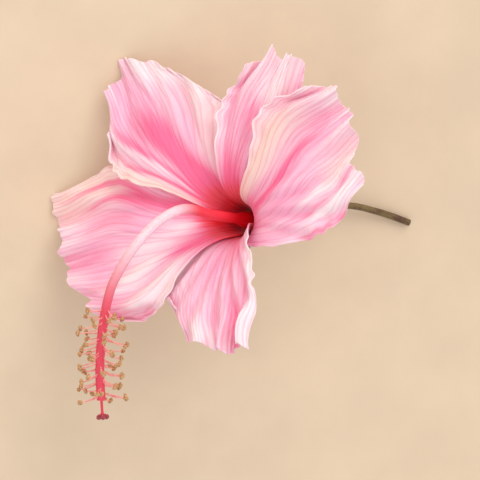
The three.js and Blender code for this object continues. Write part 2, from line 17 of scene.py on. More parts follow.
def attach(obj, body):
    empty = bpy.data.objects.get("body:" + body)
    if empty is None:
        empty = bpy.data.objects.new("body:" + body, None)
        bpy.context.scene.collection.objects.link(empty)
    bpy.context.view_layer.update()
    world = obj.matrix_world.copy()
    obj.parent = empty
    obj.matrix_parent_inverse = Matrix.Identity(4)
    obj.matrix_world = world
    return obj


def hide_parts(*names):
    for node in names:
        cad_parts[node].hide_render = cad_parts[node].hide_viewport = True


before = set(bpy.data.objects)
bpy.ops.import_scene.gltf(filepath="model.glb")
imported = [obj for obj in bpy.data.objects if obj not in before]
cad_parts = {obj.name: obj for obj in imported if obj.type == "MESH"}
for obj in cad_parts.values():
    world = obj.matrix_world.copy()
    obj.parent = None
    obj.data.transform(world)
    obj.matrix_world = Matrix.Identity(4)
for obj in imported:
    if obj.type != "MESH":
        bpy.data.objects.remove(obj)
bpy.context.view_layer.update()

bl_info = {
    "name": "Hibiscus flower",
    "version": (1, 0, 0),
    "blender": (4, 5, 0),
    "location": "View3D > Sidebar > Hibiscus",
    "description": "Builds a picked hibiscus flower piece by piece round its packed model",
    "category": "Add Mesh",
}

MM = 0.001
DEGREES = math.pi / 180
BODY = "root"
SHARP_ANGLE = 50  # between faces that aren't shaded as one

# How the flower lies: rolled about its axis, tipped from upright, then moved to its place
LYING_ROLL = -68.594
LYING_TILT = 45.906
LYING_PLACE = (-7.185, -1.3425, 28.7253)
REST_HEIGHT = 0.37  # lowest that the middle of a petal may lie above the surface

# Petals
PETAL_LENGTH = 69
PETAL_WIDTH = 52
CLAW_WIDTH = 4.2
CLAW_RING_RADIUS = 4.2
THROAT_ANGLE = 14
RIM_ANGLE = 96
BEND_START = 0.1  # shares of the length
BEND_END = 0.76
EARLY_BEND_END = 0.42
EARLY_BEND_SHARE = 0.45
FUNNEL_STEPS = 40
OPENING_SHARPNESS = 6
WIDENS_FROM = -0.06
WIDEST_AT = 0.74
RIM_WIDTH_SHARE = 0.8
CLOSING = 1.3
SWAY_FROM = 0.12
SWAY_TO = 0.75
RIM_FROM = 0.55
CORNER_ROUNDING = 2.4
NOTCH_DEPTH = 1.6
SIDE_WAVE = 0.05
SIDE_SCALLOP = 0.5
SIDE_FRILL = 0.55
RIM_FRILL = 0.45
CREST_RISE = 0.7  # how far a pale mark stands out: paler tissue with a painted highlight on its crest
OVERLAP_LIFT = 2.6
CLAW_LIFT_SHARE = 0.22
PLEATS_ROUND_FLOWER = 26
PLEAT_DEPTH = 0.75
RIM_RUFFLE = 1.92
SIDE_RUFFLE = 1.2
RUFFLES_ACROSS = 3.2
FINE_RUFFLE = 1.15
FINE_SIDE_RUFFLE = 0.6
FINEST_RUFFLE = 0.5
SWELL = 0.5
CRINKLE = 0.14
PETAL_ROWS = 116
PETAL_COLUMNS = 200
MAIN_VEINS = 9
VEIN_WIDTH = 0.3


class Petal(NamedTuple):
    """One petal: its place and form, as in the model. Pairs give its sides, behind and ahead."""

    turn: float
    length: float
    ahead: float
    behind: float
    opening: float
    skew: float
    fold: float
    droop: float
    phase: float
    widening: tuple  # how late it widens
    corners: tuple  # how much shorter it is at its corners
    base: tuple  # how much wider it is near the claw, where the blades cover each other
    flush: float  # how far the throat's red runs up it


PETALS = (
    Petal(-47, 1.06, 0.87, 0.86, 0, 0.01, 0, 0, 0.4, (1.4, 3), (0.36, 0.22), (2.6, 0.8), 0.92),
    Petal(20, 1.015, 1.26, 1.04, 0, -0.07, 6, 2.1, 2.3, (1.7, 2.9), (0, 0.08), (4.4, 2.6), 0.9),
    Petal(108, 0.86, 0.64, 0.95, -26, 0.045, 0, 0, 4, (0.97, 1.3), (0.24, -0.04), (2.2, 3.1), 0.7),
    Petal(222, 0.975, 0.69, 1.11, -4, 0.12, 3.6, 0.1, 0.9, (2.03, 1.28), (-0.06, 0.16), (4.4, 3.4), 0.7),
    Petal(252.5, 0.98, 0.52, 0.66, 0, 0, 0, 0, 1.2, (1.3, 1.5), (0.24, 0.12), (3.4, 0.6), 1.05),
)
# Strokes of colour along each petal, by tint: (start, end, inner, outer, width, strength). A stroke
# starts and ends at shares of the petal's length. Its middle runs from the inner place across the
# petal to the outer one, each from -1, behind, to 1, ahead. Pale strokes paint paler tissue together
# with painted highlights where crests catch the light. Peach strokes paint a warm tint together with
# the painted glow of light on and through the petals that face it. A few rose strokes are painted
# shade, as marked below.
MARKS = (
    {
        "rose_and_shade": [
            (0.2, 0.8, -0.36, 0.2, 0.27, 1), (0.2, 0.9, 0.18, 0.66, 0.08, 0.7),
            (0.2, 0.76, 0.5, 0.86, 0.07, 0.6),
        ],
        "coral": [(0.1, 0.4, -0.3, -0.06, 0.2, 0.3), (0.1, 0.36, 0.3, 0.5, 0.12, 0.3)],
        "scarlet": [(0.05, 0.26, -0.9, -0.96, 0.12, 0.9), (0.05, 0.24, 0.9, 0.96, 0.3, 0.6)],
        "peach_and_glow": [
            (0.2, 0.5, 0.62, 0.68, 0.08, 0.7), (0.3, 0.9, -0.9, -0.7, 0.3, 0.35),
            (0.25, 0.85, 0.92, 1, 0.16, 0.95),
        ],
        "pale_and_highlight": [
            (0.3, 0.95, 0.34, 0.78, 0.08, 0.8), (0.35, 1.1, -0.95, -0.6, 0.36, 0.55),
            (0.3, 0.85, 0.9, 1, 0.14, 0.7), (0.84, 1.1, -0.3, -0.1, 0.28, 0.8),
        ],
    },
    {
        "rose_and_shade": [
            (0.15, 0.7, -0.78, -0.66, 0.17, 0.85), (0.6, 0.98, -0.78, -0.8, 0.05, 0.6),
            (0.6, 0.95, -0.58, -0.54, 0.05, 0.5), (0.2, 0.52, 0.5, 0.42, 0.16, 0.7),
            (0.7, 1.1, 0.1, 0.14, 0.16, 0.3), (0.56, 0.94, -0.3, -0.26, 0.16, 0.4),
            # painted shade: the first stroke below darkens the flap that droops beyond the ridge
            (0.72, 1.1, 0.86, 0.9, 0.18, 0.5), (0.7, 1.1, 0.46, 0.44, 0.1, 0.35),
        ],
        "coral": [(0.1, 0.46, -0.76, -0.72, 0.14, 0.4)],
        "scarlet": [(0.05, 0.26, -0.6, -0.45, 0.4, 0.95)],
        "peach_and_glow": [(0.66, 1.1, -0.85, -0.8, 0.34, 0.9)],
        "pale_and_highlight": [
            (0.64, 1.1, -0.9, -0.75, 0.3, 0.8), (0.27, 0.52, -0.3, -0.1, 0.2, 0.9),
            (0.44, 0.72, 0.06, 0.2, 0.12, 0.7), (0.46, 0.84, 0.34, 0.52, 0.13, 1),
            (0.4, 0.84, 0.7, 0.78, 0.1, 1), (0.46, 0.72, 0.9, 0.95, 0.1, 0.9),
        ],
    },
    {
        # painted shade: the second rose stroke below darkens the side ahead near the tip
        "rose_and_shade": [(0.1, 0.55, 0.3, 0.3, 0.4, 0.55), (0.72, 1, 0.45, 0.55, 0.2, 0.5)],
        "pale_and_highlight": [
            (0.3, 0.82, -0.95, -0.85, 0.36, 1), (0.35, 1.1, 0.98, 0.95, 0.16, 0.8),
            (0.84, 1.1, -0.3, -0.1, 0.24, 0.7),
        ],
    },
    {
        "peach_and_glow": [(0.12, 0.84, 1, 0.6, 0.3, 1), (0.76, 1.1, -0.4, -0.42, 0.16, 0.6)],
        "pale_and_highlight": [
            (0.3, 0.9, 0.95, 0.66, 0.3, 0.4), (0.62, 1.1, -0.5, -0.56, 0.07, 1),
            (0.64, 1.1, -0.76, -0.84, 0.07, 1), (0.92, 1.1, 0.5, 0.5, 0.4, 0.7),
        ],
        "rose_and_shade": [
            (0.2, 0.66, 0.5, 0.34, 0.14, 0.35), (0.2, 0.86, 0.22, 0.04, 0.1, 0.8),
            (0.12, 0.5, -0.1, -0.3, 0.5, 0.3), (0.62, 0.9, -0.66, -0.7, 0.05, 0.4),
            # painted shade: the stroke below darkens the petal along its edge behind
            (0.6, 0.95, -0.98, -1, 0.1, 0.6),
        ],
    },
    {
        "rose_and_shade": [(0.1, 0.86, 0.4, 0.5, 0.3, 0.35)],
        "pale_and_highlight": [(0.3, 0.8, 0.98, 0.96, 0.16, 0.5), (0.72, 1.1, 0.1, 0.2, 0.46, 1)],
    },
)
TINTS = ("rose_and_shade", "coral", "scarlet", "pale_and_highlight", "peach_and_glow")
FIRST_CLAW_TURN = -32
CLAW_STEP = 360 / len(PETALS)

# Staminal column, its stamens and the pistil
COLUMN_PATH = (
    (0, 0, -1), (0, 0, 12), (0, 0, 28), (4.1, -0.5, 40.5), (8, 4.5, 48.5), (12, 13, 54),
    (15.2, 21.5, 56.6), (17.3, 28.5, 57.3), (18.7, 42.4, 56.4), (18.5, 56, 54.5), (17.3, 65.5, 52.7),
)
COLUMN_PATH_SPARE = 1
COLUMN_RADIUS = 1.75
COLUMN_TIP_RADIUS = 1.45
COLUMN_FOOT_RADIUS = 2.8
COLUMN_FOOT_LENGTH = 13
COLUMN_WALL = 0.65
OVARY_LENGTH = 5
STAMEN_COUNT = 36
EXTRA_STAMENS = 34
STAMEN_SEED = 11
STAMEN_ZONE = 30
STAMEN_CLEAR_END = 1.2
GOLDEN_ANGLE = 137.508
STAMEN_TURN_SPREAD = 24
FILAMENT_LENGTH = 6.2
FILAMENT_LENGTH_SPREAD = 0.4
FILAMENT_LEAN = 12
FILAMENT_LEAN_SPREAD = 18
FILAMENT_RADIUS = 0.2
ANTHER_LENGTH = 2.3
OVARY_RADIUS = 1.9
STYLE_RADIUS = 0.45
STYLE_BEYOND = 3.2
STIGMAS = 5
STIGMA_BRANCH = 2.2
FORK_SHARE = 0.8  # the pads reach the rest of the way
BRANCH_SLENDERNESS = 0.62
STIGMA_SPREAD = 0.75
STIGMA_RADIUS = 0.8

# Calyx and epicalyx
CALYX_LOBES = 5
CALYX_FIRST_LOBE = 16
CALYX_CUP_HEIGHT = 11
CALYX_LOBE_HEIGHT = 8
CALYX_LOBE_POINT = 0.8
CALYX_CLEARANCE = 0.45
CALYX_FLARE = 1.2
CALYX_FLARE_FROM = 0.6
CALYX_WALL = 0.9
CALYX_THINNING = 0.6  # of the wall as it is finished
CALYX_UNDERSIDE = 0.22  # share of the sheet that forms the cup's underside
RIB_RELIEF = 0.28
SEAT_GAP = 0.3
PETAL_HALF_THICKNESS = 0.4
BRACTS = 7
BRACT_LENGTH = 10.5
BRACT_WIDTH = 2.2
BRACT_THICKNESS = 0.8
BRACT_THINNING = 0.75
BRACT_MIDRIB = 0.12
BRACT_RISE = 38
BRACT_BEND = 50
BRACT_KEEL = 0.25
BRACT_SIZE_SPREAD = 0.12
BRACT_BEND_SPREAD = 0.25
BRACT_TURN_SPREAD = 9
EPICALYX_RING_HEIGHT = 1.8
EPICALYX_RING_THICKNESS = 1.1

# Stalk
STALK_PATH = (
    (0, 0, -1.6), (0, 0, -5), (-1.6, -0.5, -13), (-4.7, -3.5, -24.6), (-8.5, -7.4, -35.2),
    (-12.8, -9.7, -43.6), (-20.1, -8.9, -54.1), (-26.8, -6.9, -62.8),
)
STALK_RADIUS = 1.15
STALK_SEAT_RADIUS = 3.4
STALK_SEAT_LENGTH = 5
STALK_JOINT_AT = 17
STALK_JOINT_SWELL = 0.45
STALK_JOINT_LENGTH = 1.6

# Hairs
HAIR_RADIUS = 0.035
HAIR_LENGTH = 0.6
HAIR_LENGTH_SPREAD = 0.6
HAIR_LEAN = 0.9
HAIR_COUNTS = {"calyx": 500, "epicalyx": 400, "stalk": 450}

# Camera: the photograph's direction on the flower, as unit vectors of the model's frame
VIEW_TOWARDS_CAMERA = Vector((-0.1714, -0.3300, 0.9284))
VIEW_UP = Vector((-0.8774, -0.3773, -0.2961))
VIEW_AIM = Vector((-1.61, -5.83, 39.54))  # millimetres
VIEW_DISTANCE = 1.6
VIEW_HEIGHT = 0.158  # metres that the frame's height takes in at the flower


def colour(red, green, blue):
    """A colour given as 8-bit screen values, as a property's 0 to 1 values."""
    return (red / 255, green / 255, blue / 255)


def linear(values):
    """A screen colour as the linear colour with alpha that a shader takes."""
    return tuple(v / 12.92 if v <= 0.04045 else ((v + 0.055) / 1.055) ** 2.4 for v in values) + (1,)


# --- settings ---


def colour_setting(name, description, *values):
    """A colour given as 8-bit screen values."""
    look = {"subtype": "COLOR_GAMMA", "size": 3, "min": 0, "max": 1, "default": colour(*values)}
    return bpy.props.FloatVectorProperty(name=name, description=description, **look)


def number_setting(name, description, default, **kinds):
    return bpy.props.FloatProperty(name=name, description=description, default=default, **kinds)


class HibiscusPetalSettings(bpy.types.PropertyGroup):
    thickness: number_setting("Thickness", "Thickness of a petal", 0.45 * MM, precision=5, unit="LENGTH")
    vein_depth: number_setting("Vein depth", "How deep the veins lie", 0.14 * MM, precision=5, unit="LENGTH")
    blush: colour_setting("Blush", "The petal's own pink", 247, 170, 204)
    # margin also paints the highlights on crests and ridges
    margin: colour_setting("Margin", "Paler pink of rims and sides", 254, 230, 238)
    # painted glow: peach stands in for light on and through the petals that face it, over a warm tint
    peach_and_glow: colour_setting("Peach", "Warm pale tint of the petals that face the light", 255, 214, 206)
    # rose also paints the shade in troughs and under folds
    rose_and_shade: colour_setting("Rose", "Deeper pink that runs up from the throat", 250, 112, 158)
    coral: colour_setting("Coral", "Where rose turns to red", 252, 94, 110)
    scarlet: colour_setting("Scarlet", "The throat's red", 246, 44, 60)
    maroon: colour_setting("Maroon", "The throat's dark eye", 226, 10, 32)
    vein: colour_setting("Vein", "Fine veins", 232, 84, 130)


class HibiscusColumnSettings(bpy.types.PropertyGroup):
    foot: colour_setting("Foot", "Column deep in the throat", 222, 14, 34)
    low: colour_setting("Low", "Column where it leaves the throat", 240, 56, 74)
    middle: colour_setting("Middle", "Pale stretch of the column", 250, 212, 224)
    far: colour_setting("Far end", "Column among the stamens", 228, 70, 96)
    filament: colour_setting("Filament", "Stamen threads", 246, 176, 166)
    anther: colour_setting("Anther", "Stamen heads", 172, 124, 88)
    pollen: colour_setting("Pollen", "Grains on the stamen heads", 222, 176, 122)
    stigma: colour_setting("Stigma", "Pads at the tip", 140, 34, 40)


class HibiscusGreenSettings(bpy.types.PropertyGroup):
    calyx: colour_setting("Calyx", "Calyx cup", 128, 156, 74)
    lining: colour_setting("Lining", "Inside of the calyx, flushed like the throat", 196, 20, 38)
    calyx_rib: colour_setting("Calyx rib", "Ribs and foot of the calyx", 176, 188, 112)
    bract: colour_setting("Bract", "Epicalyx bracts", 102, 134, 58)
    bract_tip: colour_setting("Bract tip", "Browned tips of the bracts", 126, 84, 50)
    stalk: colour_setting("Stalk", "Olive of the stalk", 116, 96, 50)
    stalk_dark: colour_setting("Stalk, dark", "Brown of its joint and streaks", 84, 52, 32)
    hair: colour_setting("Hairs", "Fine hairs of the calyx, bracts and stalk", 228, 224, 196)
    pith: colour_setting("Pith", "Pale middle of the cut end", 214, 206, 160)


class HibiscusStageSettings(bpy.types.PropertyGroup):
    floor: colour_setting("Floor", "Plain pale floor", 228, 207, 180)
    key_power: number_setting("Key light", "Power of the main soft light", 11.6, min=0, unit="POWER")
    fill_power: number_setting("Fill light", "Power of the opposite soft light", 3.4, min=0, unit="POWER")
    sky: number_setting("Ambient", "Strength of the light from all round", 0.86, min=0)


class HibiscusSettings(bpy.types.PropertyGroup):
    petals: bpy.props.PointerProperty(type=HibiscusPetalSettings)
    column: bpy.props.PointerProperty(type=HibiscusColumnSettings)
    greens: bpy.props.PointerProperty(type=HibiscusGreenSettings)
    stage: bpy.props.PointerProperty(type=HibiscusStageSettings)


# --- formulas ---


def smooth(low, high, x):
    t = np.clip((x - low) / (high - low), 0, 1)
    return t * t * (3 - 2 * t)


def laid_down(points):
    """Points of the flower's frame, in millimetres, as points of the model's frame, in metres."""
    turned = Matrix.Rotation(LYING_TILT * DEGREES, 3, "X") @ Matrix.Rotation(LYING_ROLL * DEGREES, 3, "Z")
    return (np.asarray(points, float) @ np.array(turned).T + LYING_PLACE) * MM


def draws(seed):
    """Repeatable random numbers from 0 to 1."""
    state = seed
    while True:
        state = (state * 1664525 + 1013904223) % 2**32
        yield state / 2**32


def around_axis(radius, turn, height):
    """Points at a radius and a height, turned about the flower's axis by an angle in radians."""
    return np.stack([radius * np.cos(turn), radius * np.sin(turn), height], axis=-1)


def by_side(across, pair):
    """A petal's value on the side where each point lies: behind or ahead."""
    return np.where(across > 0, pair[1], pair[0])


def opening_at(turn):
    total = np.zeros_like(turn)
    weights = np.zeros_like(turn)
    for petal in PETALS:
        near = np.maximum(0, np.cos((turn - petal.turn) * DEGREES)) ** OPENING_SHARPNESS
        total += near * petal.opening
        weights += near
    return total / weights


def funnel(turn, distance):
    """Radius, height and slope of the funnel that the petals lie on, at a distance up a midrib."""
    turn = np.asarray(turn, float)
    distance = np.asarray(distance, float)
    spread = RIM_ANGLE + opening_at(turn) - THROAT_ANGLE
    step = distance / FUNNEL_STEPS
    radius = np.full_like(turn, CLAW_RING_RADIUS)
    height = np.zeros_like(turn)
    angle = np.full_like(turn, THROAT_ANGLE * DEGREES)
    for i in range(FUNNEL_STEPS):
        share = (i + 0.5) * step / PETAL_LENGTH
        early = EARLY_BEND_SHARE * smooth(BEND_START, EARLY_BEND_END, share)
        bend = early + (1 - EARLY_BEND_SHARE) * smooth(BEND_START, BEND_END, share)
        angle = (THROAT_ANGLE + spread * bend) * DEGREES
        radius = radius + np.sin(angle) * step
        height = height + np.cos(angle) * step
    return radius, height, angle


def half_width(petal, along, across):
    widest = PETAL_WIDTH * by_side(across, (petal.behind, petal.ahead)) / 2
    claw = CLAW_WIDTH / 2
    grown = claw + (widest - claw) * smooth(WIDENS_FROM, WIDEST_AT, along) ** by_side(across, petal.widening)
    fill = by_side(across, petal.base) * smooth(0, 0.09, along) * smooth(0.6, 0.25, along)
    return (grown + fill) * (1 - (1 - RIM_WIDTH_SHARE) * smooth(WIDEST_AT, 1, along) ** CLOSING)


def overlap_lift(along):
    return OVERLAP_LIFT * (CLAW_LIFT_SHARE + (1 - CLAW_LIFT_SHARE) * smooth(0.05, 0.5, along))


def veins(petal, along, across):
    """How near each point lies to a vein, 0 to 1. Each main vein forks twice on its way to the rim."""
    draw = draws(int(petal.turn + 400))
    spacing = 2 / MAIN_VEINS
    reach = half_width(petal, along, across)
    width = VEIN_WIDTH * (1.1 - 0.5 * along)
    nearest = np.full_like(along, 1e3)
    for i in range(MAIN_VEINS):
        trunk = -1 + spacing * (i + 0.5 + 0.3 * (next(draw) - 0.5))
        first = 0.2 + 0.16 * next(draw)
        for side in (-1, 1):
            branch = trunk + side * spacing / 4 * smooth(first, first + 0.3, along)
            second = 0.45 + 0.2 * next(draw)
            for end in (-1, 1):
                path = branch + end * spacing / 8 * smooth(second, second + 0.3, along)
                nearest = np.minimum(nearest, np.abs(across - path) * reach)
    return np.exp(-((nearest / width) ** 2))


def petal_fields(petal, index, along, across):
    """Where each point of a petal's middle surface lies, and the masks that colour it."""
    edge = np.abs(across)
    rim = smooth(RIM_FROM, 1, along)
    phase = petal.phase
    reach = half_width(petal, along, across)

    notches = np.sin(across * 7.3 + phase * 3) + 0.6 * np.sin(across * 13 + phase)
    frill = np.sin(across * 31 + 5 * phase + 2 * np.sin(across * 9)) * RIM_FRILL
    corner = by_side(across, petal.corners) * edge**CORNER_ROUNDING * along**3
    distance = PETAL_LENGTH * petal.length * along * (1 - corner) * (1 + petal.skew * across * rim)
    distance = distance + (NOTCH_DEPTH * notches * rim**3 + frill * rim**6) * (1 - edge**6)
    sides = edge**5 * smooth(0.35, 0.6, along) * smooth(1.02, 0.85, along)
    wave = np.sin(along * 15 + phase * 2 + np.where(across > 0, 1.5, 0))
    scallop = np.sin(along * 58 + phase * 3 + 2 * np.sin(along * 17))
    sideways = across * (reach * (1 + SIDE_WAVE * wave * rim) + SIDE_SCALLOP * scallop * sides)

    claw_turn = FIRST_CLAW_TURN + CLAW_STEP * index
    sway = (petal.turn - claw_turn + 540) % 360 - 180
    midrib = claw_turn + sway * smooth(SWAY_FROM, SWAY_TO, along)
    turn = midrib + sideways / funnel(midrib, distance)[0] / DEGREES
    radius, height, angle = funnel(turn, distance)

    vein = veins(petal, along, across)
    irregular = 1 + 0.5 * np.sin(turn * DEGREES * 5 + phase * 4)
    pleat = np.cos(turn * DEGREES * PLEATS_ROUND_FLOWER) * smooth(0.25, 0.7, along) * irregular
    ruffle = np.sin(across * RUFFLES_ACROSS * math.pi + phase + along * 2)
    ruffle_depth = RIM_RUFFLE * rim**2 + SIDE_RUFFLE * edge**4 * smooth(0.45, 0.8, along)
    fine = np.sin(across * 17 + 2.3 * phase + 1.3 * np.sin(across * 5 + phase) + along * 3)
    finest = np.sin(across * 39 + 5 * phase + 2 * np.sin(across * 11 + 2 * phase))
    fine_depth = FINE_RUFFLE * smooth(0.6, 1, along) ** 2
    fine_depth = fine_depth + FINE_SIDE_RUFFLE * edge**6 * smooth(0.4, 0.9, along)
    crinkle = np.sin(across * 47 + 3 * np.sin(along * 9 + phase))
    crinkle = crinkle * np.sin(along * 52 + 2.5 * np.sin(across * 8 + phase))
    crest = smooth(0.3, 0.75, across) - petal.droop * smooth(0.72, 1, across)
    fold = petal.fold * crest * smooth(0.5, 0.9, along)
    swell = SWELL * np.sin(along * 9 + across * 3 + phase * 5) * smooth(0.3, 0.6, along)
    rise = overlap_lift(along) * across + PLEAT_DEPTH * pleat + ruffle_depth * ruffle + fold
    rise = rise + fine_depth * fine + FINEST_RUFFLE * smooth(0.8, 1, along) * finest + swell * (1 - edge**2)
    rise = rise + CRINKLE * crinkle * smooth(0.3, 0.8, along)
    rise = rise + SIDE_FRILL * sides * np.cos(along * 49 + phase * 5)
    marked = strokes(MARKS[index], along, across)
    rise = rise + CREST_RISE * np.clip(marked["pale_and_highlight"], 0, 1) * smooth(0.4, 0.7, along)
    points = around_axis(radius - np.cos(angle) * rise, turn * DEGREES, height + np.sin(angle) * rise)
    ridge = 0.5 + 0.3 * pleat + 0.35 * ruffle * rim + 0.3 * fine * rim
    return points, {"vein": vein, **petal_masks(petal, marked, along, across, ridge)}


def strokes(marks, along, across):
    """How strongly each tint's marks colour each point."""
    masks = {tint: np.zeros_like(along) for tint in TINTS}
    for tint in marks:
        for start, end, inner, outer, width, strength in marks[tint]:
            middle = inner + (outer - inner) * smooth(start, end, along)
            stretch = smooth(start - 0.08, start + 0.1, along) * smooth(end + 0.1, end - 0.2, along)
            masks[tint] += strength * stretch * np.exp(-(((across - middle) / width) ** 2))
    return masks


def petal_masks(petal, masks, along, across, ridge):
    """Where a petal is red, rose, pale and peach, 0 to 1: its marks and what all petals share. Pale carries
    painted highlights on crests, rose painted shade in troughs, peach a painted glow.
    """
    edge = np.abs(across)
    fibres = 0.5 + 0.5 * np.sin(across * 37 + petal.phase * 7 + 1.5 * np.sin(across * 11))
    # painted highlight on the crests of pleats and ruffles, painted shade in their troughs
    crest_highlight = smooth(0.55, 1, ridge) * smooth(0.35, 0.8, along)
    trough_shade = smooth(0.45, 0.1, ridge) * smooth(0.3, 0.6, along)
    rim = smooth(0.8, 1, along)
    run = along / petal.flush
    light = 1 - 0.9 * np.clip(masks["pale_and_highlight"] + masks["peach_and_glow"], 0, 1)
    masks["rose_and_shade"] += (0.85 * smooth(0.55, 0.2, run) + 0.25 * trough_shade) * light
    masks["coral"] = masks["coral"] * smooth(0.6, 0.3, along) + smooth(0.36, 0.19, run) * light
    masks["scarlet"] += smooth(0.24, 0.1, run)
    masks["maroon"] = smooth(0.12, 0.04, along)
    masks["pale_and_highlight"] += rim * (0.12 + 0.4 * fibres) + 0.3 * crest_highlight + 0.6 * edge**8 * smooth(0.3, 0.6, along)
    return {tint: np.clip(values, 0, 1) for tint, values in masks.items()}


def petal_outer_radius(turn, height):
    """Radius of the outermost petal edge at a height above the petal bases."""
    low = np.zeros_like(turn)
    high = np.full_like(turn, PETAL_LENGTH / 2)
    for _ in range(24):
        middle = (low + high) / 2
        below = funnel(turn, middle)[1] < height
        low = np.where(below, middle, low)
        high = np.where(below, high, middle)
    return funnel(turn, low)[0] + overlap_lift(low / PETAL_LENGTH) + PETAL_HALF_THICKNESS


def curve_through(points, samples=400):
    """Even samples of a smooth curve through points, its forward directions and its length."""
    places = np.array(points, float)
    places = np.vstack([2 * places[0] - places[1], places, 2 * places[-1] - places[-2]])
    drawn = []
    share = np.linspace(0, 1, 40, endpoint=False)[:, None]
    for p0, p1, p2, p3 in zip(places, places[1:], places[2:], places[3:]):
        before, span, after = (np.sqrt(np.linalg.norm(b - a)) for a, b in ((p0, p1), (p1, p2), (p2, p3)))
        leave = ((p1 - p0) / before - (p2 - p0) / (before + span) + (p2 - p1) / span) * span
        arrive = ((p2 - p1) / span - (p3 - p1) / (span + after) + (p3 - p2) / after) * span
        bend = -3 * p1 + 3 * p2 - 2 * leave - arrive
        twist = 2 * p1 - 2 * p2 + leave + arrive
        drawn.append(p1 + leave * share + bend * share**2 + twist * share**3)
    drawn = np.vstack([*drawn, places[-2:-1]])
    walked = np.concatenate([[0], np.cumsum(np.linalg.norm(np.diff(drawn, axis=0), axis=1))])
    even = np.linspace(0, walked[-1], samples + 1)
    path = np.stack([np.interp(even, walked, drawn[:, k]) for k in range(3)], axis=-1)
    forwards = np.gradient(path, axis=0)
    forwards /= np.linalg.norm(forwards, axis=1)[:, None]
    return path, forwards, walked[-1]


def curve_frames(forwards):
    """Untwisted sideways and upwards directions along a curve that starts along +Z."""
    sideways = np.empty_like(forwards)
    side = np.array([0.0, -1.0, 0.0])
    for i, ahead in enumerate(forwards):
        side = side - ahead * np.dot(side, ahead)
        side = side / np.linalg.norm(side)
        sideways[i] = side
    return sideways, np.cross(forwards, sideways)


# --- modelling ---


def add_object(name, data):
    thing = bpy.data.objects.new(name, data)
    bpy.context.scene.collection.objects.link(thing)
    return thing


def primitive(operator, **settings):
    """A new primitive, added with nothing else selected."""
    bpy.ops.object.select_all(action="DESELECT")
    operator(**settings)
    return bpy.context.active_object


def activate(piece):
    bpy.ops.object.select_all(action="DESELECT")
    piece.select_set(True)
    bpy.context.view_layer.objects.active = piece


def apply_modifier(piece, kind, **settings):
    activate(piece)
    modifier = piece.modifiers.new(kind.title(), kind)
    for key, value in settings.items():
        setattr(modifier, key, value)
    bpy.ops.object.modifier_apply(modifier=modifier.name)


def positions(piece):
    flat = np.empty(len(piece.data.vertices) * 3)
    piece.data.vertices.foreach_get("co", flat)
    return flat.reshape(-1, 3)


def move_points(piece, points):
    piece.data.vertices.foreach_set("co", np.ascontiguousarray(points, float).ravel())
    piece.data.update()


def add_masks(piece, **masks):
    """Numbers for the points of a piece, which its material reads by name."""
    for name, values in masks.items():
        mask = piece.data.attributes.new(name, "FLOAT", "POINT")
        mask.data.foreach_set("value", np.ascontiguousarray(values, np.float32))


def sheet_grid(name, rows, columns):
    """A flat grid, with each point's share along it, 0 to 1, and across it, -1 to 1."""
    piece = primitive(bpy.ops.mesh.primitive_grid_add, x_subdivisions=rows, y_subdivisions=columns, size=2)
    piece.name = name
    flat = positions(piece)
    return piece, (flat[:, 0] + 1) / 2, flat[:, 1].copy()


def tube(name, path, radii, sides=24, caps=True):
    """A round tube along a path in millimetres of the flower's frame, with the radius at each point."""
    line = bpy.data.curves.new(name, "CURVE")
    line.dimensions = "3D"
    line.bevel_depth = MM
    line.bevel_resolution = sides // 4 - 1
    line.use_fill_caps = caps
    spline = line.splines.new("POLY")
    spline.points.add(len(path) - 1)
    places = laid_down(path)
    spline.points.foreach_set("co", np.column_stack([places, np.ones(len(path))]).ravel())
    spline.points.foreach_set("radius", np.asarray(radii, float))
    activate(add_object(name, line))
    bpy.ops.object.convert(target="MESH")
    piece = bpy.context.active_object
    piece.name = name
    return piece


def joined(name, parts):
    activate(parts[0])
    for part in parts:
        part.select_set(True)
    bpy.ops.object.join()
    piece = bpy.context.active_object
    piece.name = name
    return piece


def close_seams(piece, inside=False):
    """Merges points that coincide and turns all faces one way."""
    activate(piece)
    bpy.ops.object.mode_set(mode="EDIT")
    bpy.ops.mesh.select_all(action="SELECT")
    bpy.ops.mesh.remove_doubles(threshold=1e-6)
    bpy.ops.mesh.normals_make_consistent(inside=inside)
    bpy.ops.object.mode_set(mode="OBJECT")


def settle(piece, node, materials=()):
    """Gives a finished piece its smooth shading and materials, sets it on its body and hides the model's part
    for its node.
    """
    activate(piece)
    bpy.ops.object.shade_smooth_by_angle(angle=SHARP_ANGLE * DEGREES)
    for material in materials:
        piece.data.materials.append(material)
    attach(piece, BODY)
    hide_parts(node)


# --- materials ---


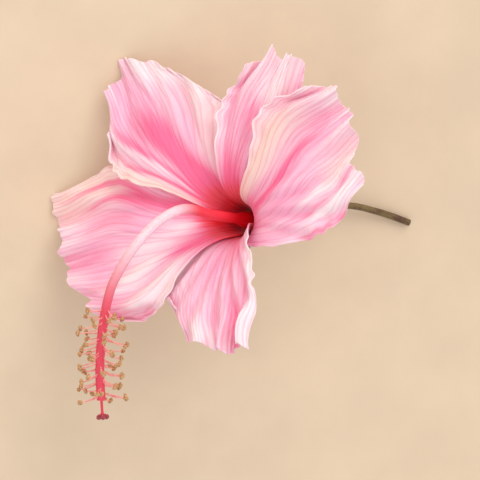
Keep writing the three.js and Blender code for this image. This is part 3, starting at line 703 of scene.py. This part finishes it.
class Finish:
    """A material whose nodes are added one by one round a single shader."""

    def __init__(self, name, **sockets):
        self.material = bpy.data.materials.new(name)
        self.material.use_nodes = True
        self.nodes = self.material.node_tree.nodes
        self.links = self.material.node_tree.links
        self.shader = self.nodes["Principled BSDF"]
        for socket, value in sockets.items():
            self.shader.inputs[socket.replace("_", " ")].default_value = value

    def node(self, kind, inputs=None, **settings):
        node = self.nodes.new(kind)
        for key, value in settings.items():
            setattr(node, key, value)
        for key, value in (inputs or {}).items():
            if isinstance(value, bpy.types.NodeSocket):
                self.links.new(value, node.inputs[key])
            else:
                node.inputs[key].default_value = value
        return node

    def mask(self, name):
        return self.node("ShaderNodeAttribute", attribute_name=name).outputs["Fac"]

    def noise(self, coordinates, scale, detail=3, roughness=0.55):
        """Noise over Object or UV coordinates, scaled alike along all axes or along each."""
        source = self.node("ShaderNodeTexCoord").outputs[coordinates]
        scales = scale if isinstance(scale, tuple) else (scale,) * 3
        place = self.node("ShaderNodeMapping", {"Vector": source, "Scale": scales}).outputs["Vector"]
        inputs = {"Vector": place, "Scale": 1, "Detail": detail, "Roughness": roughness}
        return self.node("ShaderNodeTexNoise", inputs).outputs["Fac"]

    def math(self, operation, first, second):
        return self.node("ShaderNodeMath", {0: first, 1: second}, operation=operation).outputs[0]

    def ramp(self, factor, low, high, bottom=0.0, top=1.0):
        inputs = {"Value": factor, 1: low, 2: high, 3: bottom, 4: top}
        return self.node("ShaderNodeMapRange", inputs, interpolation_type="SMOOTHSTEP").outputs["Result"]

    def mix(self, factor, first, second):
        """Mixes two colours, each a socket or a screen colour."""
        node = self.node("ShaderNodeMix", {"Factor": factor}, data_type="RGBA")
        for socket, value in ((6, first), (7, second)):
            if isinstance(value, bpy.types.NodeSocket):
                self.links.new(value, node.inputs[socket])
            else:
                node.inputs[socket].default_value = linear(value)
        return node.outputs[2]

    def paint(self, tone, roughness=None, height=None, depth=0):
        """Links what varies over the surface to the shader."""
        self.links.new(tone, self.shader.inputs["Base Color"])
        if roughness is not None:
            self.links.new(roughness, self.shader.inputs["Roughness"])
        if height is not None:
            bump = self.node("ShaderNodeBump", {"Height": height, "Distance": depth, "Strength": 1})
            self.links.new(bump.outputs["Normal"], self.shader.inputs["Normal"])
        return self.material


FLESHY = {"Subsurface_Weight": 0.2, "Subsurface_Scale": 0.001}


def grained(name, scale, first, second, spread, detail, **sockets):
    """A finish, its fine grain, and the tone that the grain mixes from two colours."""
    finish = Finish(name, **sockets)
    grain = finish.noise("Object", scale, detail)
    return finish, grain, finish.mix(finish.ramp(grain, *spread), first, second)


def grainy_material(name, scale, first, second, spread=(0.3, 0.7, 0, 0.5), detail=3, depth=0, **sockets):
    """A surface of two colours in a fine grain, which also roughens it where a depth is given."""
    finish, grain, tone = grained(name, scale, first, second, spread, detail, **sockets)
    return finish.paint(tone, height=grain if depth else None, depth=depth)


def petal_material(name, settings, back=False):
    """Silky petal tissue: pink, pale at its rims, running through rose to red in the throat, with painted
    highlights, shade and glow from its pale, rose and peach masks.
    """
    finish = Finish(
        name,
        Subsurface_Weight=0.3,
        Subsurface_Radius=(0.0016, 0.0008, 0.0008),
        Subsurface_Scale=1,
        Sheen_Weight=0.25,
        Sheen_Roughness=0.4,
        Specular_IOR_Level=0.35,
    )
    fibres = finish.noise("UV", (3, 110, 1), detail=4, roughness=0.6)
    streaks = finish.noise("UV", (1.5, 26, 1))
    clouds = finish.noise("UV", (2.5, 4, 1), detail=2)
    blush = finish.mix(finish.ramp(clouds, 0.3, 0.7, 0, 0.3), settings.blush, settings.margin)
    blush = finish.mix(finish.ramp(streaks, 0.42, 0.72, 0, 0.4), blush, settings.margin)
    blush = finish.mix(finish.ramp(streaks, 0.5, 0.3, 0, 0.16), blush, settings.rose_and_shade)
    # painted highlights come in with the pale mask, painted glow with the peach one
    tone = finish.mix(finish.mask("pale_and_highlight"), blush, settings.margin)
    tone = finish.mix(finish.mask("peach_and_glow"), tone, settings.peach_and_glow)
    uneven = finish.ramp(streaks, 0.3, 0.7, -0.16, 0.16)
    uneven = finish.math("ADD", finish.ramp(fibres, 0.3, 0.7, -0.12, 0.12), uneven)
    # rose also brings painted shade in troughs and under folds
    for tint in ("rose_and_shade", "coral", "scarlet", "maroon"):
        present = finish.ramp(finish.mask(tint), 0, 0.2)
        streaky = finish.math("ADD", finish.mask(tint), finish.math("MULTIPLY", uneven, present))
        weight = finish.math("MULTIPLY", finish.ramp(streaky, 0.02, 0.98), 0.45 if back else 1)
        tone = finish.mix(weight, tone, getattr(settings, tint))
    vein_weight = finish.math("MULTIPLY", finish.mask("vein"), 0.42 if back else 0.28)
    tone = finish.mix(vein_weight, tone, settings.vein)
    roughness = finish.ramp(fibres, 0.3, 0.7, 0.42, 0.58)
    return finish.paint(tone, roughness, fibres, depth=0.00012)


def build_petals(settings):
    front = petal_material("Petal face", settings)
    back = petal_material("Petal back", settings, back=True)
    for index, petal in enumerate(PETALS):
        piece, along, across = sheet_grid(f"petal_{index + 1}_blade", PETAL_ROWS, PETAL_COLUMNS)
        points, masks = petal_fields(petal, index, along, across)
        places = laid_down(points)
        places[:, 2] = np.maximum(places[:, 2], REST_HEIGHT * MM)
        move_points(piece, places)
        add_masks(piece, **masks)
        sink_veins(piece, masks["vein"], settings.vein_depth)
        piece.data.materials.append(front)
        piece.data.materials.append(back)
        apply_modifier(piece, "SOLIDIFY", thickness=settings.thickness, offset=0, material_offset=1)
        settle(piece, f"petal_{index + 1}")


def sink_veins(piece, vein, depth):
    """Lowers a sheet's points along the veins, on the side that its faces look to."""
    normals = np.empty(len(piece.data.vertices) * 3)
    piece.data.vertex_normals.foreach_get("vector", normals)
    move_points(piece, positions(piece) - normals.reshape(-1, 3) * (vein * depth)[:, None])


# --- column, stamens and pistil ---


def column_radius(share, length):
    slender = COLUMN_TIP_RADIUS + (COLUMN_RADIUS - COLUMN_TIP_RADIUS) * (1 - share)
    foot = 1 - smooth(OVARY_LENGTH, COLUMN_FOOT_LENGTH, share * length)
    return slender + (COLUMN_FOOT_RADIUS - COLUMN_RADIUS) * foot


def build_column(settings):
    path, forwards, length = curve_through(COLUMN_PATH)
    shares = np.linspace(0, 1, len(path))
    spare = COLUMN_PATH_SPARE / length
    inside = (shares >= spare) & (shares <= 1 - spare)
    radii = column_radius(shares, length)
    piece = tube("column_tube", path[inside], radii[inside], sides=32, caps=False)
    add_masks(piece, share=nearest_share(positions(piece), laid_down(path), shares))
    apply_modifier(piece, "SOLIDIFY", thickness=COLUMN_WALL * MM, offset=-1)
    settle(piece, "staminal_column", [column_material(settings)])

    sideways, upwards = curve_frames(forwards)
    scatter = draws(STAMEN_SEED)
    filaments = []
    anthers = []
    head = anther_model()
    for i in range(STAMEN_COUNT + EXTRA_STAMENS):
        rank = (i + 0.5) / STAMEN_COUNT if i < STAMEN_COUNT else (i - STAMEN_COUNT + 0.3) / EXTRA_STAMENS
        share = 1 - (STAMEN_CLEAR_END + STAMEN_ZONE * (1 - rank)) / length
        turn = (i * GOLDEN_ANGLE + STAMEN_TURN_SPREAD * (next(scatter) - 0.5)) * DEGREES
        reach = FILAMENT_LENGTH * (1 + FILAMENT_LENGTH_SPREAD * (next(scatter) - 0.5))
        lean = (FILAMENT_LEAN + FILAMENT_LEAN_SPREAD * (next(scatter) - 0.5)) * DEGREES
        spin = next(scatter) * math.pi
        at = round(share * (len(path) - 1))
        out = sideways[at] * math.cos(turn) + upwards[at] * math.sin(turn)
        direction = out * math.cos(lean) + forwards[at] * math.sin(lean)
        foot = path[at] + out * (column_radius(share, length) - COLUMN_WALL / 2)
        steps = np.linspace(0, 1, 9)[:, None]
        sag = np.cross(direction, forwards[at]) * 0.6 * (next(scatter) - 0.5)
        line = foot + direction * reach * steps + (forwards[at] * 0.9 + sag) * (steps - steps**2) * 1.6
        radii = FILAMENT_RADIUS * (1.25 - 0.45 * steps[:, 0])
        filaments.append(tube("filament", line, radii, sides=8))
        tip = laid_down(line[-1])
        ahead = Vector(laid_down(line[-1] + (line[-1] - line[-2])) - tip).normalized()
        anthers.append(placed_copy(head, tip, ahead, spin))
    bpy.data.objects.remove(head)
    threads = grainy_material("Filament", 700, settings.filament, settings.far, Roughness=0.45, **FLESHY)
    settle(joined("filaments", filaments), "staminal_column", [threads])
    look = {"depth": 0.0003, "Roughness": 0.8}
    heads = grainy_material("Anther", 2600, settings.anther, settings.pollen, (0.42, 0.6), 2, **look)
    settle(joined("anthers", anthers), "staminal_column", [heads])


def nearest_share(points, path, shares):
    """The share of a path that lies nearest to each point."""
    found = np.empty(len(points))
    for start in range(0, len(points), 2000):
        part = points[start : start + 2000]
        gaps = np.linalg.norm(part[:, None] - path[None], axis=2)
        found[start : start + 2000] = shares[gaps.argmin(axis=1)]
    return found


def anther_model():
    """A stamen's head: a bean-shaped, furrowed sac, pointing along +Z at the origin."""
    piece = primitive(bpy.ops.mesh.primitive_uv_sphere_add, segments=14, ring_count=8, radius=1)
    ball = positions(piece)
    furrow = 1 - 0.35 * np.exp(-((ball[:, 1] / 0.3) ** 2)) * smooth(-0.2, 0.8, ball[:, 2])
    x = ball[:, 0] * ANTHER_LENGTH / 2
    y = ball[:, 1] * ANTHER_LENGTH * 0.3 * furrow
    z = ball[:, 2] * ANTHER_LENGTH * 0.3 * furrow - 0.22 * x**2
    move_points(piece, np.column_stack([x, y, z]) * MM)
    return piece


def placed_copy(model, place, ahead, spin=0, stretch=1):
    """A copy of a model that stands along +Z, set at a place of the model's frame to point ahead."""
    copy = add_object(model.name, model.data.copy())
    turned = ahead.to_track_quat("Z", "Y").to_matrix().to_4x4() @ Matrix.Rotation(spin, 4, "Z")
    copy.data.transform(Matrix.Translation(place) @ turned @ Matrix.Scale(stretch, 4, (0, 0, 1)))
    return copy


def column_material(settings):
    radius = (0.001, 0.0005, 0.0005)
    finish = Finish("Column", Subsurface_Weight=0.2, Subsurface_Radius=radius, Subsurface_Scale=1)
    share = finish.mask("share")
    grain = finish.noise("Object", 900, detail=4)
    tone = finish.mix(finish.ramp(share, 0.1, 0.24), settings.foot, settings.low)
    tone = finish.mix(finish.ramp(share, 0.3, 0.4), tone, settings.middle)
    tone = finish.mix(finish.ramp(share, 0.5, 0.76), tone, settings.far)
    tone = finish.mix(finish.ramp(grain, 0.4, 0.7, 0, 0.15), tone, settings.far)
    return finish.paint(tone, finish.ramp(grain, 0.3, 0.7, 0.36, 0.5), grain, depth=0.00008)


def build_pistil(settings):
    path, forwards, length = curve_through(COLUMN_PATH)
    shares = np.linspace(0, 1, len(path))
    beyond = path[-1] + forwards[-1] * np.linspace(0.1, STYLE_BEYOND, 8)[:, None]
    line = np.vstack([path, beyond])
    within = (shares * length - COLUMN_PATH_SPARE) / OVARY_LENGTH
    bulge = np.sqrt(np.maximum(0, 1 - (2 * within - 1) ** 2))
    radii = np.maximum(STYLE_RADIUS, OVARY_RADIUS * bulge)
    radii = np.concatenate([radii, np.full(len(beyond), STYLE_RADIUS)])
    start = shares.searchsorted(COLUMN_PATH_SPARE / length)
    parts = [tube("style", line[start:], radii[start:], sides=16)]
    sideways, upwards = curve_frames(forwards)
    fork = path[-1] + forwards[-1] * STYLE_BEYOND * FORK_SHARE
    pads = []
    for i in range(STIGMAS):
        turn = 2 * math.pi * i / STIGMAS
        spread = sideways[-1] * math.cos(turn) + upwards[-1] * math.sin(turn)
        steps = np.linspace(0, 1, 8)[:, None]
        aside = spread * STIGMA_BRANCH * STIGMA_SPREAD * FORK_SHARE * steps**1.4
        branch = fork + (forwards[-1] * STIGMA_BRANCH * FORK_SHARE * steps + aside)
        parts.append(tube("branch", branch, np.full(8, STYLE_RADIUS * BRANCH_SLENDERNESS), sides=12))
        pads.append(stigma_pad(branch[-1]))
    style = grainy_material("Style", 800, settings.far, settings.foot, Roughness=0.4, **FLESHY)
    settle(joined("style_and_branches", parts), "pistil", [style])
    look = {"depth": 0.0002, "Roughness": 0.75, "Sheen_Weight": 0.6}
    stigma = grainy_material("Stigma", 3000, settings.stigma, settings.far, (0.35, 0.7, 0, 0.5), **look)
    settle(joined("stigma_pads", pads), "pistil", [stigma])


def stigma_pad(place):
    """A round pad set with short blunt hairs."""
    piece = primitive(bpy.ops.mesh.primitive_ico_sphere_add, subdivisions=4, radius=1)
    ball = positions(piece)
    draw = np.random.default_rng(5).normal(size=(90, 3))
    tips = draw / np.linalg.norm(draw, axis=1)[:, None]
    nearness = (ball @ tips.T).max(axis=1)
    bristle = smooth(0.975, 1, nearness)
    move_points(piece, laid_down(place + ball * (STIGMA_RADIUS * (0.86 + 0.26 * bristle))[:, None]))
    return piece


# --- calyx, epicalyx and stalk ---


def hair_model():
    """A fine pointed hair, one millimetre long, that stands along +Z with its foot under the origin."""
    root = HAIR_RADIUS * MM
    piece = primitive(bpy.ops.mesh.primitive_cone_add, vertices=5, radius1=root, radius2=0, depth=MM)
    move_points(piece, positions(piece) + (0, 0, 0.45 * MM))
    return piece


def grow_hairs(surface, node, settings):
    """Scatters fine hairs over the outside of a piece, as a piece of their own."""
    model = hair_model()
    count = HAIR_COUNTS[node]
    scatter = draws(count)
    faces = [face for face in surface.data.polygons if face.material_index == 0]
    hairs = []
    while len(hairs) < count:
        face = faces[int(next(scatter) * len(faces))]
        lean = Vector((next(scatter) - 0.5, next(scatter) - 0.5, next(scatter) - 0.5))
        ahead = (face.normal + lean * HAIR_LEAN).normalized()
        length = HAIR_LENGTH * (1 + HAIR_LENGTH_SPREAD * (next(scatter) - 0.5))
        if (face.center + ahead * length * MM).z >= 0:
            hairs.append(placed_copy(model, face.center, ahead, stretch=length))
    bpy.data.objects.remove(model)
    look = {"Roughness": 0.5, "Subsurface_Weight": 0.2, "Subsurface_Scale": 0.0005}
    spread = (0.3, 0.7, 0, 0.4)
    fine = grainy_material(f"{node} hairs", 900, settings.hair, settings.calyx_rib, spread, **look)
    settle(joined(f"{node}_hairs", hairs), node, [fine])


def from_lobe(turn):
    """How far a turn is from the nearest lobe's middle: 0 there, 1 half way to the next."""
    lobes = (turn - CALYX_FIRST_LOBE) / 360 * CALYX_LOBES
    return np.abs(lobes - np.round(lobes)) * 2


def calyx_top(turn):
    return CALYX_CUP_HEIGHT + CALYX_LOBE_HEIGHT * (1 - from_lobe(turn)) ** CALYX_LOBE_POINT


def calyx_radius(turn, height):
    """The calyx's outer radius."""
    top = CALYX_CUP_HEIGHT + CALYX_LOBE_HEIGHT
    flare = CALYX_FLARE * smooth(CALYX_CUP_HEIGHT * CALYX_FLARE_FROM, top, height)
    return petal_outer_radius(turn, height) + CALYX_CLEARANCE + CALYX_WALL + flare


def build_calyx(settings):
    piece, along, across = sheet_grid("calyx_cup", 70, 240)
    turn = (across + 1) * 180
    lobe = from_lobe(turn)
    climb = np.clip((along - CALYX_UNDERSIDE) / (1 - CALYX_UNDERSIDE), 0, 1)
    ribs = np.exp(-((lobe / 0.1) ** 2)) + 0.6 * np.exp(-(((lobe - 1) / 0.12) ** 2))
    side_ribs = 0.5 * np.exp(-(((lobe - 0.45 * (1 - climb * 0.6)) / 0.07) ** 2))
    height = calyx_top(turn) * climb
    radius = calyx_radius(turn, height) + RIB_RELIEF * (ribs + side_ribs) * smooth(0, 0.15, climb)
    under = along < CALYX_UNDERSIDE
    inwards = np.clip(along / CALYX_UNDERSIDE, 0, 1)
    under_height = -(SEAT_GAP + CALYX_WALL) * (1 - smooth(0.6, 1, inwards))
    radius = np.where(under, calyx_radius(turn, np.zeros_like(turn)) * inwards**0.8, radius)
    height = np.where(under, under_height, height)
    move_points(piece, laid_down(around_axis(radius, turn * DEGREES, height)))
    add_masks(piece, rib=np.clip(ribs + side_ribs, 0, 1), climb=climb)
    close_seams(piece, inside=True)  # an open cup counts as inside out
    foot_ramp = ("climb", 0.1, 0.6, 0.9, 0)
    look = {"Subsurface_Weight": 0.12, "Sheen_Weight": 0.3}
    for name, foot in (("Calyx", settings.calyx_rib), ("Calyx lining", settings.lining)):
        colours = (settings.calyx, settings.bract, settings.calyx_rib, foot)
        piece.data.materials.append(green_material(name, 600, colours, 0.55, foot_ramp, **look))
    wall = CALYX_WALL * MM * CALYX_THINNING
    apply_modifier(piece, "SOLIDIFY", thickness=wall, offset=-1, material_offset=1)
    settle(piece, "calyx")
    grow_hairs(piece, "calyx", settings)


def green_material(name, scale, colours, rib_weight, end_ramp, **sockets):
    """Matte green tissue with paler ribs. Its colour changes towards one end, as a ramp over a mask says."""
    first, second, rib, end = colours
    finish, grain, tone = grained(
        name, scale, first, second, (0.3, 0.7, 0, 0.35), detail=5, Subsurface_Scale=0.001, **sockets
    )
    tone = finish.mix(finish.math("MULTIPLY", finish.mask("rib"), rib_weight), tone, rib)
    tone = finish.mix(finish.ramp(finish.mask(end_ramp[0]), *end_ramp[1:]), tone, end)
    return finish.paint(tone, finish.ramp(grain, 0.3, 0.7, 0.5, 0.7), grain, depth=0.0002)


def build_epicalyx(settings):
    low = float(calyx_radius(np.zeros(1), np.zeros(1))[0]) + SEAT_GAP
    high = float(calyx_radius(np.zeros(1), np.full(1, EPICALYX_RING_HEIGHT))[0]) + SEAT_GAP
    ring = epicalyx_ring(low, high)
    bracts = [bract(i, low + BRACT_THICKNESS * 0.7) for i in range(BRACTS)]
    piece = joined("epicalyx_bracts", [ring, *bracts])
    colours = (settings.bract, settings.calyx, settings.calyx_rib, settings.bract_tip)
    tip_ramp = ("reach", 0.75, 1, 0, 0.85)
    green = green_material("Epicalyx", 700, colours, 0.35, tip_ramp, Subsurface_Weight=0.1, Sheen_Weight=0.25)
    settle(piece, "epicalyx", [green])
    grow_hairs(piece, "epicalyx", settings)


def epicalyx_ring(low, high):
    """The ring that the bracts grow from, rounded on its outside."""
    piece, along, across = sheet_grid("epicalyx_ring", 25, 97)
    turn = (across + 1) * math.pi
    round_about = along * 2 * math.pi
    height = EPICALYX_RING_HEIGHT * (0.5 - 0.5 * np.cos(round_about))
    middle = low + (high - low) * height / EPICALYX_RING_HEIGHT + EPICALYX_RING_THICKNESS / 2
    radius = middle + EPICALYX_RING_THICKNESS / 2 * np.sin(round_about)
    move_points(piece, laid_down(around_axis(radius, turn, height)))
    add_masks(piece, reach=np.zeros_like(along), rib=np.zeros_like(along))
    close_seams(piece)
    return piece


def bract(index, root_radius):
    """One bract: a narrow keeled blade, pointed at its tip."""
    piece, along, across = sheet_grid("bract", 28, 13)
    turn = (360 * index / BRACTS + BRACT_TURN_SPREAD * math.sin(index * 2.4)) * DEGREES
    length = BRACT_LENGTH * (1 + BRACT_SIZE_SPREAD * math.sin(index * 3.7))
    bend = BRACT_BEND * (1 + BRACT_BEND_SPREAD * math.sin(index * 5.1))
    angle = (BRACT_RISE - bend * along) * DEGREES
    half = BRACT_WIDTH / 2 * np.sin(math.pi * (0.2 + 0.78 * along)) ** 0.8
    midrib = np.exp(-((across / 0.25) ** 2))
    keel = BRACT_KEEL * (1 - across**2) * (1 - along) + BRACT_MIDRIB * midrib
    radius = root_radius + np.cos(angle) * along * length
    side = half * across
    height = EPICALYX_RING_HEIGHT * 0.55 + np.sin(angle) * along * length - keel
    x = radius * math.cos(turn) - side * math.sin(turn)
    y = radius * math.sin(turn) + side * math.cos(turn)
    move_points(piece, laid_down(np.column_stack([x, y, height])))
    add_masks(piece, reach=along, rib=midrib)
    apply_modifier(piece, "SOLIDIFY", thickness=BRACT_THICKNESS * MM * BRACT_THINNING, offset=0)
    apply_modifier(piece, "BEVEL", width=0.15 * MM, segments=2)
    return piece


def build_stalk(settings):
    path, _, length = curve_through(STALK_PATH)
    walked = np.linspace(0, length, len(path))
    joint = STALK_JOINT_SWELL * np.exp(-(((walked - STALK_JOINT_AT) / STALK_JOINT_LENGTH) ** 2))
    seat = (STALK_SEAT_RADIUS - STALK_RADIUS) * (1 - smooth(0, STALK_SEAT_LENGTH, walked))
    piece = tube("stalk_stem", path, STALK_RADIUS + joint + seat, sides=32)
    places = positions(piece)
    share = nearest_share(places, laid_down(path), walked) / length
    from_cut = np.linalg.norm(places - laid_down(path[-1:]), axis=1) / (STALK_RADIUS * MM)
    add_masks(piece, walked=share, pith=1 - smooth(0.3, 1.1, from_cut))
    places[:, 2] = np.maximum(places[:, 2], 0)
    move_points(piece, places)
    settle(piece, "stalk", [stalk_material(settings, STALK_JOINT_AT / length)])
    grow_hairs(piece, "stalk", settings)


def stalk_material(settings, joint_at):
    finish, streaks, tone = grained(
        "Stalk", (500, 160, 260), settings.stalk, settings.stalk_dark, (0.35, 0.65), 5, Sheen_Weight=0.15
    )
    walked = finish.mask("walked")
    near_joint = finish.node("ShaderNodeMath", {0: walked, 1: joint_at, 2: 0.02}, operation="COMPARE")
    tone = finish.mix(finish.math("MULTIPLY", near_joint.outputs[0], 0.6), tone, settings.stalk_dark)
    tone = finish.mix(finish.ramp(walked, 0, 0.3, 0.75, 0), tone, settings.calyx)
    tone = finish.mix(finish.mask("pith"), tone, settings.pith)
    return finish.paint(tone, finish.ramp(streaks, 0.3, 0.7, 0.5, 0.75), streaks, depth=0.0003)


# --- stage ---


def build_stage(settings):
    floor = primitive(bpy.ops.mesh.primitive_plane_add, size=12)
    floor.name = "floor"
    dusk = tuple(0.97 * v for v in settings.floor)
    look = {"Roughness": 0.85, "Specular_IOR_Level": 0.2}
    floor.data.materials.append(grainy_material("Floor", 30, settings.floor, dusk, (0.3, 0.7), 6, **look))

    world = bpy.data.worlds.new("Soft room")
    world.use_nodes = True
    sky = world.node_tree.nodes["Background"]
    sky.inputs["Color"].default_value = linear(colour(255, 252, 250))
    sky.inputs["Strength"].default_value = settings.sky
    bpy.context.scene.world = world

    aim = VIEW_AIM * MM
    right = VIEW_UP.cross(VIEW_TOWARDS_CAMERA)
    key_side = VIEW_UP * 0.6 + right * 0.35 + VIEW_TOWARDS_CAMERA * 0.7
    fill_side = -right * 0.8 - VIEW_UP * 0.2 + VIEW_TOWARDS_CAMERA * 0.8
    soft_light("key", aim, key_side, distance=1.6, size=1.05, power=settings.key_power)
    soft_light("fill", aim, fill_side, distance=1.8, size=1.5, power=settings.fill_power)

    camera = add_object("camera", bpy.data.cameras.new("camera"))
    turned = facing(VIEW_TOWARDS_CAMERA, VIEW_UP)
    camera.matrix_world = Matrix.Translation(aim + VIEW_TOWARDS_CAMERA * VIEW_DISTANCE) @ turned
    camera.data.lens = camera.data.sensor_width * VIEW_DISTANCE / VIEW_HEIGHT
    bpy.context.scene.camera = camera
    bpy.context.scene.view_settings.view_transform = "Standard"


def facing(backwards, up):
    """The turn of a camera or lamp that looks against backwards with up above it."""
    right = up.cross(backwards).normalized()
    above = backwards.cross(right)
    return Matrix((right, above, backwards)).transposed().to_4x4()


def soft_light(name, aim, direction, distance, size, power):
    lamp = bpy.data.lights.new(name, "AREA")
    lamp.size = size
    lamp.energy = power
    lamp.color = linear(colour(255, 250, 244))[:3]
    direction = direction.normalized()
    turned = facing(direction, Vector((0, 1, 0)))
    add_object(name, lamp).matrix_world = Matrix.Translation(aim + direction * distance) @ turned


# --- operators and panel ---


class HIBISCUS_OT_petals(bpy.types.Operator):
    """Build the five petals"""

    bl_idname = "hibiscus.petals"
    bl_label = "Petals"

    def execute(self, context):
        build_petals(context.scene.hibiscus.petals)
        return {"FINISHED"}


class HIBISCUS_OT_column(bpy.types.Operator):
    """Build the staminal column with its filaments and anthers"""

    bl_idname = "hibiscus.column"
    bl_label = "Column and stamens"

    def execute(self, context):
        build_column(context.scene.hibiscus.column)
        return {"FINISHED"}


class HIBISCUS_OT_pistil(bpy.types.Operator):
    """Build the ovary, style and stigmas"""

    bl_idname = "hibiscus.pistil"
    bl_label = "Pistil"

    def execute(self, context):
        build_pistil(context.scene.hibiscus.column)
        return {"FINISHED"}


class HIBISCUS_OT_calyx(bpy.types.Operator):
    """Build the calyx cup"""

    bl_idname = "hibiscus.calyx"
    bl_label = "Calyx"

    def execute(self, context):
        build_calyx(context.scene.hibiscus.greens)
        return {"FINISHED"}


class HIBISCUS_OT_epicalyx(bpy.types.Operator):
    """Build the ring of bracts outside the calyx"""

    bl_idname = "hibiscus.epicalyx"
    bl_label = "Epicalyx"

    def execute(self, context):
        build_epicalyx(context.scene.hibiscus.greens)
        return {"FINISHED"}


class HIBISCUS_OT_stalk(bpy.types.Operator):
    """Build the stalk with its joint and cut end"""

    bl_idname = "hibiscus.stalk"
    bl_label = "Stalk"

    def execute(self, context):
        build_stalk(context.scene.hibiscus.greens)
        return {"FINISHED"}


class HIBISCUS_OT_stage(bpy.types.Operator):
    """Set the floor, lights and camera"""

    bl_idname = "hibiscus.stage"
    bl_label = "Stage"

    def execute(self, context):
        build_stage(context.scene.hibiscus.stage)
        return {"FINISHED"}


STEPS = ("petals", "column", "pistil", "calyx", "epicalyx", "stalk", "stage")


class HIBISCUS_PT_panel(bpy.types.Panel):
    """Lists the flower's pieces in the order in which they are built"""

    bl_idname = "HIBISCUS_PT_panel"
    bl_label = "Hibiscus flower"
    bl_space_type = "VIEW_3D"
    bl_region_type = "UI"
    bl_category = "Hibiscus"

    def draw(self, context):
        for step in STEPS:
            self.layout.operator(f"hibiscus.{step}")
        for group in ("petals", "column", "greens", "stage"):
            box = self.layout.box()
            chosen = getattr(context.scene.hibiscus, group)
            for name in chosen.__annotations__:
                box.prop(chosen, name)


CLASSES = (
    HibiscusPetalSettings,
    HibiscusColumnSettings,
    HibiscusGreenSettings,
    HibiscusStageSettings,
    HibiscusSettings,
    HIBISCUS_OT_petals,
    HIBISCUS_OT_column,
    HIBISCUS_OT_pistil,
    HIBISCUS_OT_calyx,
    HIBISCUS_OT_epicalyx,
    HIBISCUS_OT_stalk,
    HIBISCUS_OT_stage,
    HIBISCUS_PT_panel,
)


def register():
    for cls in CLASSES:
        bpy.utils.register_class(cls)
    bpy.types.Scene.hibiscus = bpy.props.PointerProperty(type=HibiscusSettings)


def unregister():
    del bpy.types.Scene.hibiscus
    for cls in reversed(CLASSES):
        bpy.utils.unregister_class(cls)


def main():
    register()
    for step in STEPS:
        getattr(bpy.ops.hibiscus, step)()


if __name__ == "__main__":
    main()
